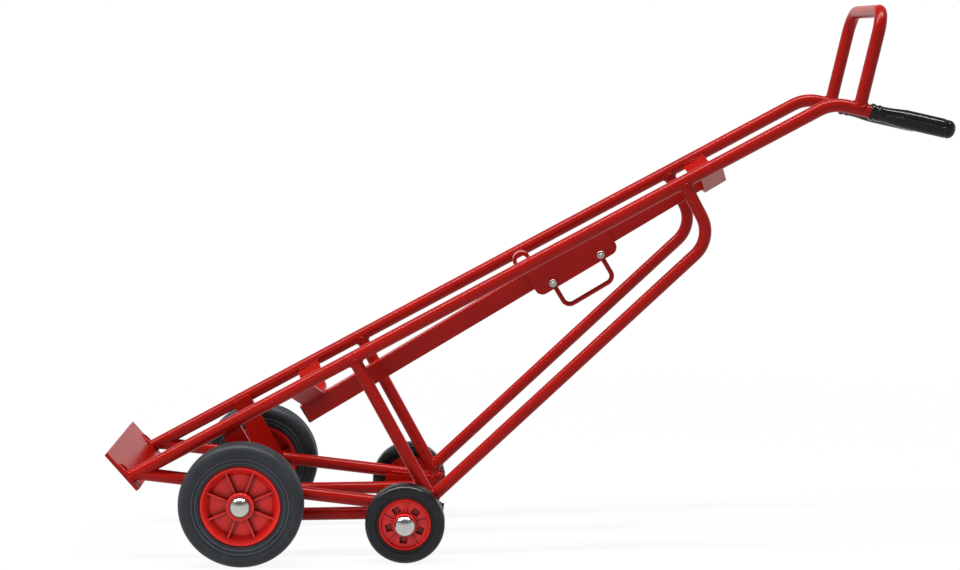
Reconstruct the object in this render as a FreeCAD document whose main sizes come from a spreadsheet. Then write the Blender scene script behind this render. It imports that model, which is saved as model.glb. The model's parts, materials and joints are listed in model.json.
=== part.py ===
"""Four-wheel drum trolley: welded tube frame, two wheel pairs and a sliding rim hook.

Frame: X runs from the toe plate to the grips, Y across the trolley, Z up from the floor.
The origin is on the floor, in the middle of the trolley's length and width.
Left is the -Y side, as seen by someone who holds the grips.
"""
import FreeCAD
import Part
import Sketcher
import math
import os
from FreeCAD import Placement, Rotation, Vector

# Driving dimensions in millimetres and degrees
SIZES = [
    ("rail_angle", 27.4, "slope of the two side rails above the floor"),
    ("rail_spacing", 310, "distance between the rail axes"),
    ("rail_lift", 146.7, "rail axis above the front axle, square to the rail"),
    ("rail_outer", 26.9, "outer diameter of the rail tube"),
    ("rail_wall", 1.5, "wall of the rail tube"),
    ("rail_front", 181.4, "front axle to the toe plate, along the rail"),
    ("rail_back", 1416, "front axle to the handle bend, along the rail"),
    ("bend_radius", 80, "axis radius of the handle bend"),
    ("handle_drop", 13.5, "slope of the handle ends below level"),
    ("handle_length", 242, "handle tube past the bend corner"),
    ("grip_start", 77.5, "bend corner to the grip"),
    ("grip_end_wall", 10, "closed end of the grip past the tube"),
    ("grip_collar", 30.6, "collar diameter of the grip"),
    ("grip_ridge", 1.1, "height of the two collar ridges"),
    ("grip_ridge_width", 3, "width of a collar ridge"),
    ("grip_ridge_pitch", 8, "distance between the collar ridges"),
    ("grip_neck", 30.2, "neck diameter of the grip"),
    ("grip_neck_end", 32, "grip start to the end of the neck"),
    ("grip_swell", 37.4, "largest diameter of the grip"),
    ("grip_swell_start", 66, "grip start to the swelling"),
    ("grip_blend", 40, "rounding between neck and swelling"),
    ("grip_round", 14, "rounding of the grip end"),
    ("loop_at", 56, "bend corner to the loop handle"),
    ("loop_height", 199, "loop axis above the handle axis"),
    ("loop_outer", 26.0, "outer diameter of the loop tube"),
    ("loop_radius", 45, "axis radius of the loop corners"),
    ("toe_splay", 12.4, "lean of the toe plate away from square"),
    ("toe_above", 68, "toe plate above the rail axis"),
    ("toe_below", 29.5, "toe plate below the rail axis"),
    ("toe_thick", 8, "toe plate thickness"),
    ("toe_round", 2, "rounding of the toe plate's outer edges"),
    ("front_wheel", 250, "diameter of the front wheels"),
    ("rear_wheel", 160, "diameter of the rear wheels"),
    ("wheel_base", 326.4, "distance between the axles, level"),
    ("front_collar", 16.75, "length of a front axle collar"),
    ("rear_collar", 9.75, "length of a rear axle collar"),
    ("axle", 20, "diameter of both axles"),
    ("axle_play", 0.05, "running clearance of a bush on its axle, radial"),
    ("side_play", 0.3, "running clearance beside a hub"),
    ("brace_outer", 26.4, "outer diameter of the long brace"),
    ("brace_wall", 2.6, "wall of the long brace and the tie"),
    ("brace_gap", 0.3, "long brace clear of the axles"),
    ("brace_tail", 71.5, "long brace past the rear axle"),
    ("plug_head", 3, "head of a brace end plug"),
    ("plug_stem", 12, "stem of a brace end plug"),
    ("strut_at", 331.5, "front axle to the strut, along the rail"),
    ("strut_outer", 26.0, "outer diameter of the strut"),
    ("stay_at", 1082, "front axle to the stay top, along the rail"),
    ("stay_depth", 128, "stay corner below the rail axis"),
    ("stay_foot", 24, "stay foot above the long brace axis, along the strut"),
    ("stay_outer", 25.2, "outer diameter of the stay"),
    ("stay_radius", 64, "axis radius of the stay bend"),
    ("light_wall", 1.5, "wall of strut, stay and loop tubes"),
    ("plate_thick", 10, "thickness of the axle plates and gussets"),
    ("plate_at", 41.5, "front axle to the axle plate middle, along the rail"),
    ("plate_width", 41, "width of the axle plate"),
    ("ear_radius", 22, "radius of the plate ear round the axle"),
    ("ear_rise", 66, "front axle to the start of the ear, square to the rail"),
    ("plate_round", 12, "corner radius of the axle plate's foot"),
    ("corner_round", 5, "corner radius of plates and gussets"),
    ("tie_end", 24, "tie past the rear axle"),
    ("tie_lap", 8, "tie end inside the axle plate edge"),
    ("gusset_front", 48, "gusset in front of the rear axle"),
    ("gusset_back", 62, "gusset behind the rear axle"),
    ("gusset_down", 18, "gusset below the rear axle"),
    ("gusset_up", 27, "gusset above the rear axle"),
    ("gusset_fall", 11, "drop of the gusset's top edge to its back"),
    ("gusset_cut", 14, "cut-back of the gusset's lower corner"),
    ("saddle_low_at", 204.7, "front axle to the lower saddle, along the rail"),
    ("saddle_high_at", 1144, "front axle to the upper saddle, along the rail"),
    ("saddle_dip", 50.2, "saddle middle below the rail axis"),
    ("saddle_flat", 42, "half width of the flat saddle middle"),
    ("saddle_width", 50, "saddle strip width"),
    ("saddle_thick", 5, "saddle strip thickness"),
    ("slide_height", 40, "slide rail height"),
    ("slide_width", 30, "slide rail width"),
    ("slide_wall", 2.0, "slide rail wall"),
    ("slide_round", 3, "slide rail corner radius"),
    ("slide_tail", 35, "slide rail below the lower saddle middle"),
    ("slide_head", 15, "slide rail above the upper saddle middle"),
    ("slide_cap", 3, "flange of the slide rail end caps"),
    ("slide_plug", 12, "stem of the slide rail end caps"),
    ("carriage_at", 606, "lower saddle to the carriage middle, along the slide rail"),
    ("carriage_length", 193, "carriage length"),
    ("carriage_plate", 4, "carriage plate thickness"),
    ("carriage_play", 0.5, "carriage clear of the slide rail"),
    ("carriage_skirt", 19.5, "carriage plates below the slide rail"),
    ("carriage_round", 17, "lower corner radius of the carriage plates"),
    ("bolt_spacing", 115, "distance between the carriage bolts"),
    ("bolt", 8, "carriage bolt diameter"),
    ("bolt_head", 5.3, "carriage bolt head height"),
    ("bolt_end", 3, "carriage bolt past its nut"),
    ("nut", 6.8, "carriage nut height"),
    ("nut_flats", 13, "carriage nut across flats"),
    ("bolt_washer", 16, "carriage washer diameter"),
    ("bolt_washer_thick", 1.6, "carriage washer thickness"),
    ("eye_play", 0.02, "bail eye clear of the sleeves"),
    ("sleeve_outer", 15.4, "diameter of the sleeves under the slide rail"),
    ("hook_strip", 8, "hook strip thickness"),
    ("hook_width", 34, "hook strip width"),
    ("hook_inner", 10.7, "inner radius of the hook arch"),
    ("hook_rise", 21, "carriage top to the arch centre"),
    ("hook_reach", 78, "carriage middle to the near face of the hook stem"),
    ("hook_foot", 48, "hook foot on the carriage top"),
    ("hook_tip", 9, "hook tip below the arch centre"),
    ("bail_rod", 10, "bail rod diameter"),
    ("bail_eye", 12, "bail eye width"),
    ("bail_depth", 60, "bail bar below the bolts"),
    ("bail_radius", 16, "axis radius of the bail corners"),
    ("hub_bore", 30, "wheel hub bore"),
    ("front_hub", 56, "front hub diameter"),
    ("front_hub_length", 58, "front hub length"),
    ("front_rim", 164, "front rim diameter under the tyre"),
    ("front_rim_width", 48, "front rim width"),
    ("front_barrel", 6, "front rim barrel thickness at its edge"),
    ("front_taper", 14, "slope of the front rim barrel to the web"),
    ("front_web", 8, "front rim web thickness"),
    ("front_tyre_width", 56, "front tyre width"),
    ("rib_thick", 4, "front rim rib thickness"),
    ("rib_width", 34, "front rim rib width across the web"),
    ("rib_count", 8, "ribs on a front rim"),
    ("rib_root", 4, "rib start inside the hub's outside"),
    ("rear_hub", 46, "rear hub diameter"),
    ("rear_hub_length", 56, "rear hub length"),
    ("rear_rim", 107, "rear rim diameter under the tyre"),
    ("rear_rim_width", 38, "rear rim width"),
    ("rear_web", 26, "rear rim web thickness"),
    ("rear_tyre_width", 44, "rear tyre width"),
    ("pocket_gap", 3, "distance of the pockets from the rear hub"),
    ("pocket_depth", 13.5, "radial size of a rear rim pocket"),
    ("pocket_width", 16, "width of a rear rim pocket"),
    ("pocket_count", 5, "pockets in a rear rim, with a rib between two"),
    ("pocket_round", 2, "corner radius of a pocket"),
    ("pocket_floor", 5, "web left between the pockets of both sides"),
    ("rear_rib_thick", 3, "rear rim rib thickness"),
    ("rear_rib_width", 32, "rear rim rib width across the web"),
    ("rear_barrel", 4.5, "rear rim barrel thickness at its edge"),
    ("rear_taper", 3, "slope of the rear rim barrel to the web"),
    ("rim_blend", 4, "inner corner radius of a rim"),
    ("rim_lip", 3, "chamfer of the rim under the tyre bead"),
    ("tyre_bead", 10, "flat bead of a front tyre beside the rim"),
    ("tyre_ring", 9, "stepped band of a front tyre outside the bead"),
    ("tyre_step", 1.4, "depth of the sidewall steps"),
    ("tyre_dish", 5, "bead of a tyre inside its width, each side"),
    ("tyre_shoulder", 13, "shoulder radius of a front tyre"),
    ("rear_shoulder", 11, "shoulder radius of a rear tyre"),
    ("washer_outer", 36, "axle washer diameter"),
    ("washer_thick", 2, "axle washer thickness"),
    ("collar_outer", 32, "axle collar diameter"),
    ("collar_inset", 1.5, "axle collar clear of the tube side"),
    ("cap_outer", 40, "hub cap diameter"),
    ("cap_height", 14.5, "hub cap height"),
    ("cap_wall", 1.5, "hub cap wall"),
    ("axle_end", 7, "axle inside the hub cap"),
]

doc = FreeCAD.newDocument("DrumTrolley")
sheet = doc.addObject("Spreadsheet::Sheet", "Sizes")
for row, (alias, number, meaning) in enumerate(SIZES, start=1):
    sheet.set(f"A{row}", meaning)
    sheet.set(f"B{row}", str(number))
    sheet.setAlias(f"B{row}", alias)
doc.recompute()

SIDES = {"left": -1, "right": 1}
ACROSS = Vector(0, 1, 0)
UP = Vector(0, 0, 1)
nodes = {}


def size(alias):
    """Return a driving dimension."""
    return float(getattr(sheet, alias))


def keep(label, piece):
    """Name a finished sub-part."""
    piece.Label = label
    nodes[label] = piece
    return piece


# Places worked out from the driving dimensions
SLOPE = math.radians(size("rail_angle"))
DROP = math.radians(size("handle_drop"))
SPLAY = math.radians(size("toe_splay"))
HALF = size("rail_spacing") / 2
FRONT_Z = size("front_wheel") / 2
REAR_Z = size("rear_wheel") / 2
LIFT = size("rail_lift")
RAIL_R = size("rail_outer") / 2
AXLE_R = size("axle") / 2
BRACE_R = size("brace_outer") / 2
GRIP_LENGTH = size("handle_length") + size("grip_end_wall") - size("grip_start")
PLATE_OUT = HALF - max(RAIL_R, BRACE_R)
TIE_Y = PLATE_OUT - size("plate_thick") - BRACE_R


def rail_step(along, square):
    """Offset in X and Z for steps along and square to the rails."""
    dx = along * math.cos(SLOPE) - square * math.sin(SLOPE)
    dz = along * math.sin(SLOPE) + square * math.cos(SLOPE)
    return Vector(dx, 0, dz)


TOE_UP = rail_step(-math.sin(SPLAY), math.cos(SPLAY))
TOE_IN = rail_step(math.cos(SPLAY), math.sin(SPLAY))
HANDLE = Vector(math.cos(DROP), 0, -math.sin(DROP))
POST = Vector(math.sin(DROP), 0, math.cos(DROP))


def front_axle_x():
    """Place the front axle so that the trolley is centred on its own length."""
    toe = rail_step(-size("rail_front"), LIFT) + TOE_UP * size("toe_above")
    first = (toe - TOE_IN * size("toe_thick")).x
    ending = size("grip_start") + GRIP_LENGTH - size("grip_round")
    corner = rail_step(size("rail_back"), LIFT) + HANDLE * ending
    last = (corner + POST * (size("grip_swell") / 2 - size("grip_round"))).x
    return -(first + last + size("grip_round")) / 2


FRONT = Vector(front_axle_x(), 0, FRONT_Z)
REAR = Vector(FRONT.x + size("wheel_base"), 0, REAR_Z)
BRACE = (REAR - FRONT).normalize()
BRACE_UP = Vector(-BRACE.z, 0, BRACE.x)
BRACE_LIFT = BRACE_R + AXLE_R + size("brace_gap")


def on_rail(along, square, y=0):
    """Point by its distance along and square to the rails from the front axle."""
    return FRONT + rail_step(along, square) + ACROSS * y


def meet(first, way, second, other_way):
    """Point where two lines in the XZ plane cross."""
    cross = way.x * other_way.z - way.z * other_way.x
    gap = second - first
    return first + way * ((gap.x * other_way.z - gap.z * other_way.x) / cross)


BRACE_START = FRONT + BRACE_UP * BRACE_LIFT
SQUARE = rail_step(0, 1)
STRUT_TOP = on_rail(size("strut_at"), LIFT)
STRUT_FOOT = meet(STRUT_TOP, SQUARE, BRACE_START, BRACE)
BEND = on_rail(size("rail_back"), LIFT)
TUBE_SIDE = HALF + max(RAIL_R, BRACE_R) + size("collar_inset")


def half_track(kind):
    """Trolley middle to a wheel's middle, out past collar and washer."""
    hub = TUBE_SIDE + size(f"{kind}_collar") + size("washer_thick") + size("side_play")
    return hub + size(f"{kind}_hub_length") / 2


TOE = on_rail(-size("rail_front"), LIFT)

SADDLE_SPAN = size("saddle_high_at") - size("saddle_low_at")
TILT = math.asin((size("slide_height") + size("saddle_thick")) / SADDLE_SPAN)
SLIDE_ANGLE = SLOPE + TILT
SLIDE = Vector(math.cos(SLIDE_ANGLE), 0, math.sin(SLIDE_ANGLE))
SLIDE_MIDDLE = on_rail(
    (size("saddle_low_at") + size("saddle_high_at")) / 2, LIFT - size("saddle_dip")
)
SLIDE_LOW = -SADDLE_SPAN / 2 * math.cos(TILT)
SLIDE_TURN = Rotation(ACROSS, -math.degrees(SLIDE_ANGLE))


# Sketch and feature helpers
def new_body(name, placement=Placement()):
    """Start a body at a placement."""
    body = doc.addObject("PartDesign::Body", name)
    body.Placement = placement
    return body


def sketch_on(body, plane):
    """Start a sketch on one of a body's origin planes."""
    sketch = body.newObject("Sketcher::SketchObject", f"{body.Name}_sketch")
    support = next(item for item in body.Origin.OriginFeatures if item.Role == plane)
    sketch.AttachmentSupport = [(support, "")]
    sketch.MapMode = "FlatFace"
    return sketch


def add_circle(sketch, x, y, diameter):
    """Add a circle whose diameter follows an expression of the sheet."""
    value = sheet.evalExpression(diameter.replace("Sizes.", ""))
    circle = Part.Circle(Vector(x, y, 0), UP, float(value) / 2)
    index = sketch.addGeometry(circle)
    limit = sketch.addConstraint(Sketcher.Constraint("Diameter", index, float(value)))
    sketch.setExpression(f"Constraints[{limit}]", diameter)


def rounded(vertices, closed=True):
    """Turn corner points (x, y, radius) into lines and tangent arcs."""
    count = len(vertices)
    points = [Vector(x, y, 0) for x, y, _ in vertices]
    corners = []
    for index, (_, _, radius) in enumerate(vertices):
        here = points[index]
        if radius == 0 or (not closed and index in (0, count - 1)):
            corners.append((here, None, here))
            continue
        back = (points[index - 1] - here).normalize()
        ahead = (points[(index + 1) % count] - here).normalize()
        half = back.getAngle(ahead) / 2
        run = radius / math.tan(half)
        centre = here + (back + ahead).normalize() * (radius / math.sin(half))
        middle = centre + (here - centre).normalize() * radius
        corners.append((here + back * run, middle, here + ahead * run))
    pieces = []
    for index, (start, middle, end) in enumerate(corners):
        if middle is not None:
            pieces.append(Part.Arc(start, middle, end))
        if closed or index < count - 1:
            follow = corners[(index + 1) % count][0]
            if (follow - end).Length > 1e-6:
                pieces.append(Part.LineSegment(end, follow))
    return pieces


def add_outline(sketch, vertices, closed=True):
    """Add a path of corner points with rounded corners."""
    for piece in rounded(vertices, closed):
        sketch.addGeometry(piece)


def pad(body, sketch, length, both=False):
    """Pad a sketch by an expression of the sheet."""
    feature = body.newObject("PartDesign::Pad", f"{body.Name}_pad")
    feature.Profile = sketch
    feature.setExpression("Length", length)
    if both:
        feature.SideType = "Symmetric"
    sketch.Visibility = False
    return feature


def through(body, sketch):
    """Cut a sketch right through the body, both ways."""
    before = body.Shape.Volume
    feature = body.newObject("PartDesign::Pocket", f"{body.Name}_pocket")
    feature.Profile = sketch
    feature.Type = "ThroughAll"
    feature.SideType = "Symmetric"
    doc.recompute()
    if body.Shape.Volume >= before:
        raise RuntimeError(f"{body.Name}: the pocket cut nothing")
    return feature


def revolve(name, vertices, placement):
    """Turn a closed half section (radius, height, corner radius) about local Z."""
    body = new_body(name, placement)
    sketch = sketch_on(body, "XZ_Plane")
    add_outline(sketch, vertices)
    feature = body.newObject("PartDesign::Revolution", f"{name}_turn")
    feature.Profile = sketch
    feature.ReferenceAxis = (sketch, ["V_Axis"])
    feature.Angle = 360
    return body


def repeat(body, feature, sketch, count):
    """Repeat a feature round the local Z axis."""
    pattern = body.newObject("PartDesign::PolarPattern", f"{body.Name}_ring")
    pattern.Originals = [feature]
    pattern.Axis = (sketch, ["N_Axis"])
    pattern.Angle = 360
    pattern.setExpression("Occurrences", count)
    body.Tip = pattern


def bent_tube(name, vertices, start_plane, placement, outer, wall=None):
    """Sweep a round section along a path of straight runs and bends."""
    body = new_body(name, placement)
    spine = sketch_on(body, "XZ_Plane")
    add_outline(spine, vertices, closed=False)
    profile = sketch_on(body, start_plane)
    x = vertices[0][0] if start_plane == "XY_Plane" else 0
    add_circle(profile, x, 0, f"Sizes.{outer}")
    if wall:
        add_circle(profile, x, 0, f"Sizes.{outer} - 2 * Sizes.{wall}")
    feature = body.newObject("PartDesign::AdditivePipe", f"{name}_pipe")
    feature.Profile = profile
    feature.Spine = (spine, [])
    return body


def rod(name, start, end, diameter):
    """Round bar between two points, its diameter an expression of the sheet."""
    bar = doc.addObject("Part::Cylinder", name)
    bar.setExpression("Radius", f"({diameter}) / 2")
    bar.Height = (end - start).Length
    bar.Placement = Placement(start, Rotation(UP, end - start))
    return bar


def fuse(name, pieces):
    """Join solids into one."""
    joined = doc.addObject("Part::MultiFuse", name)
    joined.Shapes = pieces
    return joined


def cut(name, base, tools):
    """Cut tools away from a base."""
    result = doc.addObject("Part::Cut", name)
    result.Base = base
    result.Tool = tools[0] if len(tools) == 1 else fuse(f"{name}_tools", tools)
    return result


def group(name, pieces):
    """Keep separate solids together as one sub-part."""
    holder = doc.addObject("Part::Compound", name)
    holder.Links = pieces
    return holder


def straight_tube(name, start, end, outer, wall, tools):
    """Straight tube between two points, its ends shaped by cutting tools."""
    skin = rod(f"{name}_skin", start, end, f"Sizes.{outer}")
    bore = rod(f"{name}_bore", start, end, f"Sizes.{outer} - 2 * Sizes.{wall}")
    return cut(name, skin, [bore] + tools)


def plate(name, plane, vertices, holes, thickness, placement, both=True):
    """Flat plate from a rounded outline with round holes."""
    body = new_body(name, placement)
    sketch = sketch_on(body, plane)
    add_outline(sketch, vertices)
    for x, y, diameter in holes:
        add_circle(sketch, x, y, diameter)
    pad(body, sketch, thickness, both)
    return body


def slab(name, corner_at, along, square, lengths):
    """Box with one corner at a point and its edges along two given directions."""
    box = doc.addObject("Part::Box", name)
    box.Length, box.Width, box.Height = lengths
    turn = Rotation(along, square.cross(along), square, "ZXY")
    box.Placement = Placement(corner_at, turn)
    return box


# Frame tubes and plates
def toe_plate():
    """Toe plate across both rails, on which the load stands when the trolley is upright."""
    outline = [
        (-size("toe_thick"), -size("toe_below"), size("toe_round")),
        (0, -size("toe_below"), 0),
        (0, size("toe_above"), 0),
        (-size("toe_thick"), size("toe_above"), size("toe_round")),
    ]
    turn = Rotation(TOE_IN, TOE_UP.cross(TOE_IN), TOE_UP, "ZXY")
    body = new_body("toe_plate_body", Placement(TOE, turn))
    sketch = sketch_on(body, "XZ_Plane")
    add_outline(sketch, outline)
    pad(body, sketch, "Sizes.rail_spacing + Sizes.rail_outer", both=True)
    keep("toe_plate", body)


def toe_cutter(name, y):
    """Space in front of the toe plate's inner face."""
    room = 4 * size("rail_outer")
    corner = TOE - TOE_UP * room - TOE_IN * room + ACROSS * (y - room / 2)
    return slab(name, corner, TOE_IN, TOE_UP, (room, room, 2 * room))


def rail_core(name, y):
    """Solid of the straight rail's outside, used to shape what is welded to it."""
    return rod(name, on_rail(-size("rail_front"), LIFT, y), BEND + ACROSS * y, "Sizes.rail_outer")


def brace_core(name, y):
    """Solid of the long brace's outside."""
    return rod(name, brace_end(-1, y), brace_end(1, y), "Sizes.brace_outer")


def brace_end(which, y):
    """Ends of the long brace axis: at the toe plate, or past the rear axle."""
    if which < 0:
        return meet(BRACE_START, BRACE, TOE, TOE_UP) - BRACE * size("brace_outer") + ACROSS * y
    return REAR + BRACE_UP * BRACE_LIFT + BRACE * size("brace_tail") + ACROSS * y


def side_rail(side, y):
    """Side rail with its handle end, one bent tube from the toe plate to the grip."""
    lead = 2 * size("rail_outer")
    run = size("rail_front") + size("rail_back") + lead
    turn = -(SLOPE + DROP)
    path = [
        (0, 0, 0),
        (run, 0, size("bend_radius")),
        (
            run + size("handle_length") * math.cos(turn),
            size("handle_length") * math.sin(turn),
            0,
        ),
    ]
    start = on_rail(-size("rail_front") - lead, LIFT, y)
    place = Placement(start, Rotation(ACROSS, -size("rail_angle")))
    tube = bent_tube(f"rail_tube_{side}", path, "YZ_Plane", place, "rail_outer", "rail_wall")
    keep(f"rail_{side}", cut(f"rail_cut_{side}", tube, [toe_cutter(f"rail_toe_{side}", y)]))


def grip(side, y):
    """Moulded grip with a ridged collar, a waist and a swelling for the palm."""
    inner = RAIL_R
    collar = size("grip_collar") / 2
    top = collar + size("grip_ridge")
    wide = size("grip_ridge_width")
    slant = size("grip_ridge") / 2
    neck = size("grip_neck") / 2
    swell = size("grip_swell") / 2
    tube_in = GRIP_LENGTH - size("grip_end_wall")
    profile = [(inner, 0, 0), (collar, 0, slant)]
    for first in (wide / 2, wide / 2 + size("grip_ridge_pitch")):
        profile += [
            (collar, first, 0),
            (top, first + slant, slant),
            (top, first + wide - slant, slant),
            (collar, first + wide, 0),
        ]
    profile += [
        (neck, wide * 2 + size("grip_ridge_pitch"), 0),
        (neck, size("grip_neck_end"), size("grip_blend")),
        (swell, size("grip_swell_start"), size("grip_blend")),
        (swell, GRIP_LENGTH, size("grip_round")),
        (0, GRIP_LENGTH, 0),
        (0, tube_in, 0),
        (inner, tube_in, 0),
    ]
    start = BEND + HANDLE * size("grip_start") + ACROSS * y
    keep(f"grip_{side}", revolve(f"grip_body_{side}", profile, Placement(start, Rotation(UP, HANDLE))))


def loop_handle():
    """Loop handle across the trolley, standing square on both handle ends."""
    path = [
        (-HALF, 0, 0),
        (-HALF, size("loop_height"), size("loop_radius")),
        (HALF, size("loop_height"), size("loop_radius")),
        (HALF, 0, 0),
    ]
    base = BEND + HANDLE * size("loop_at")
    turn = Rotation(ACROSS, POST.cross(ACROSS), POST, "ZXY")
    tube = bent_tube("loop_tube", path, "XY_Plane", Placement(base, turn), "loop_outer", "light_wall")
    cores = []
    for side, sign in SIDES.items():
        y = ACROSS * (sign * HALF)
        ends = BEND + y, BEND + HANDLE * size("handle_length") + y
        cores.append(rod(f"loop_seat_{side}", *ends, "Sizes.rail_outer"))
    keep("loop_handle", cut("loop_cut", tube, cores))


def long_brace(side, y):
    """Long brace from the toe plate over both axles."""
    above = slab(
        f"brace_trim_{side}",
        on_rail(-size("rail_front") - 2 * size("rail_outer"), LIFT, y - size("rail_outer")),
        rail_step(1, 0),
        SQUARE,
        (8 * size("rail_outer"), 2 * size("rail_outer"), 4 * size("rail_outer")),
    )
    tools = [rail_core(f"brace_rail_{side}", y), toe_cutter(f"brace_toe_{side}", y), above]
    ends = brace_end(-1, y), brace_end(1, y)
    keep(f"brace_{side}", straight_tube(f"brace_tube_{side}", *ends, "brace_outer", "brace_wall", tools))
    bore = "Sizes.brace_outer - 2 * Sizes.brace_wall"
    inside = rod(f"plug_stem_{side}", ends[1] - BRACE * size("plug_stem"), ends[1], bore)
    outside = ends[1] + BRACE * size("plug_head")
    flange = rod(f"plug_head_{side}", ends[1], outside, "Sizes.brace_outer")
    keep(f"brace_plug_{side}", fuse(f"brace_plug_join_{side}", [inside, flange]))


def end_on_axle(y):
    """Point on the rear axle's axis."""
    return REAR + ACROSS * y


def tie_bar(side, sign):
    """Level tie between the axle plate and the rear axle."""
    y = sign * TIE_Y
    level = Vector(1, 0, 0)
    edge = on_rail(size("plate_at") - size("plate_width") / 2, 0)
    start = meet(edge, SQUARE, REAR, level) + level * size("tie_lap") + ACROSS * y
    end = REAR + level * size("tie_end") + ACROSS * y
    reach = ACROSS * size("brace_outer")
    hole = rod(f"tie_axle_{side}", end_on_axle(y) - reach, end_on_axle(y) + reach, "Sizes.axle")
    keep(f"tie_{side}", straight_tube(f"tie_tube_{side}", start, end, "brace_outer", "brace_wall", [hole]))


def strut(side, y):
    """Strut square to the rail, down to the long brace."""
    tools = [rail_core(f"strut_rail_{side}", y), brace_core(f"strut_brace_{side}", y)]
    ends = STRUT_FOOT + ACROSS * y, STRUT_TOP + ACROSS * y
    keep(f"strut_{side}", straight_tube(f"strut_tube_{side}", *ends, "strut_outer", "light_wall", tools))


def stay(side, y):
    """Bent stay from the strut foot back up to the rail."""
    foot = STRUT_FOOT + SQUARE * size("stay_foot")
    corner = on_rail(size("stay_at"), LIFT - size("stay_depth"))
    way = corner - foot
    lean = math.atan2(way.z, way.x)
    turn = SLOPE + math.pi / 2 - lean
    rise = size("stay_depth")
    path = [
        (0, 0, 0),
        (way.Length, 0, size("stay_radius")),
        (way.Length + rise * math.cos(turn), rise * math.sin(turn), 0),
    ]
    place = Placement(foot + ACROSS * y, Rotation(ACROSS, -math.degrees(lean)))
    tube = bent_tube(f"stay_tube_{side}", path, "YZ_Plane", place, "stay_outer", "light_wall")
    tools = [
        rail_core(f"stay_rail_{side}", y),
        brace_core(f"stay_brace_{side}", y),
        rod(f"stay_strut_{side}", STRUT_FOOT + ACROSS * y, STRUT_TOP + ACROSS * y, "Sizes.strut_outer"),
    ]
    keep(f"stay_{side}", cut(f"stay_cut_{side}", tube, tools))


def axle_plate(side, sign):
    """Plate from the rail down past the front axle to the tie, with an ear round the axle."""
    left = size("plate_at") - size("plate_width") / 2
    right = size("plate_at") + size("plate_width") / 2
    ear = size("ear_radius")
    tie_drop = FRONT_Z - REAR_Z
    foot = -(tie_drop + right * math.sin(SLOPE)) / math.cos(SLOPE) - BRACE_R / 2
    corner = size("corner_round")
    outline = [
        (right, LIFT, corner),
        (right, foot, size("plate_round")),
        (left, foot, size("plate_round")),
        (left, -ear, size("plate_round")),
        (-ear, -ear, ear * 0.9),
        (-ear, ear * 0.5, ear * 0.6),
        (left, size("ear_rise"), size("plate_round")),
        (left, LIFT, corner),
    ]
    middle = sign * (PLATE_OUT - size("plate_thick") / 2)
    place = Placement(FRONT + ACROSS * middle, Rotation(ACROSS, -size("rail_angle")))
    holes = [(0, 0, "Sizes.axle")]
    keep(
        f"axle_plate_{side}",
        plate(f"axle_plate_body_{side}", "XZ_Plane", outline, holes, "Sizes.plate_thick", place),
    )


def gusset(side, sign):
    """Gusset between the long brace and the tie, which carries the rear axle."""
    outline = [
        (-size("gusset_front"), -size("gusset_down"), size("corner_round")),
        (size("gusset_back") - size("gusset_cut"), -size("gusset_down"), size("corner_round")),
        (size("gusset_back"), size("gusset_cut") - size("gusset_down"), size("corner_round")),
        (size("gusset_back"), size("gusset_up") - size("gusset_fall"), size("corner_round")),
        (-size("gusset_front"), size("gusset_up"), size("corner_round")),
    ]
    middle = sign * (PLATE_OUT - size("plate_thick") / 2)
    place = Placement(REAR + ACROSS * middle, Rotation())
    holes = [(0, 0, "Sizes.axle")]
    keep(
        f"gusset_{side}",
        plate(f"gusset_body_{side}", "XZ_Plane", outline, holes, "Sizes.plate_thick", place),
    )


def saddle(label, along):
    """Bent strip between the rails that carries the slide rail."""
    lean = math.atan2(size("saddle_dip"), HALF - size("saddle_flat"))
    half = size("saddle_thick") / 2
    shift = half * math.tan(lean / 2)
    side_in = Vector(-math.sin(lean) * half, math.cos(lean) * half, 0)
    tip = Vector(HALF, size("saddle_dip"), 0)
    bend = size("saddle_thick") * 2
    outline = [
        (size("saddle_flat") + shift, -half, bend),
        (tip.x - side_in.x, tip.y - side_in.y, 0),
        (tip.x + side_in.x, tip.y + side_in.y, 0),
        (size("saddle_flat") - shift, half, bend),
    ]
    outline += [(-x, z, radius) for x, z, radius in reversed(outline)]
    place = Placement(on_rail(along, LIFT - size("saddle_dip")), SLIDE_TURN)
    strip = plate(f"{label}_strip", "YZ_Plane", outline, [], "Sizes.saddle_width", place)
    cores = [rail_core(f"{label}_{side}", sign * HALF) for side, sign in SIDES.items()]
    keep(label, cut(f"{label}_cut", strip, cores))


def box_section(width, height, corner):
    """Rounded rectangle about the middle."""
    x = width / 2
    y = height / 2
    return [(-x, -y, corner), (x, -y, corner), (x, y, corner), (-x, y, corner)]


def slide_rail():
    """Box section rail on the middle line, under the lower saddle and over the upper one."""
    wall = size("slide_wall")
    length = size("slide_tail") + 2 * -SLIDE_LOW + size("slide_head")
    start = SLIDE_MIDDLE + SLIDE * (SLIDE_LOW - size("slide_tail"))
    end = start + SLIDE * length
    body = new_body("slide_rail_body", Placement(start, SLIDE_TURN))
    sketch = sketch_on(body, "YZ_Plane")
    inner = (size("slide_width") - 2 * wall, size("slide_height") - 2 * wall)
    corner = size("slide_round")
    inner_corner = corner - wall
    add_outline(sketch, box_section(size("slide_width"), size("slide_height"), corner))
    add_outline(sketch, box_section(*inner, inner_corner))
    run = body.newObject("PartDesign::Pad", "slide_rail_pad")
    run.Profile = sketch
    run.Length = length
    keep("slide_rail", body)
    for label, place, sign in (("slide_cap_lower", start, -1), ("slide_cap_upper", end, 1)):
        cap = new_body(f"{label}_body", Placement(place, SLIDE_TURN))
        flange = sketch_on(cap, "YZ_Plane")
        add_outline(flange, box_section(size("slide_width"), size("slide_height"), corner))
        lid = pad(cap, flange, "Sizes.slide_cap")
        lid.Reversed = sign < 0
        stem = sketch_on(cap, "YZ_Plane")
        add_outline(stem, box_section(*inner, inner_corner))
        plug = pad(cap, stem, "Sizes.slide_plug")
        plug.Reversed = sign > 0
        keep(label, cap)


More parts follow.
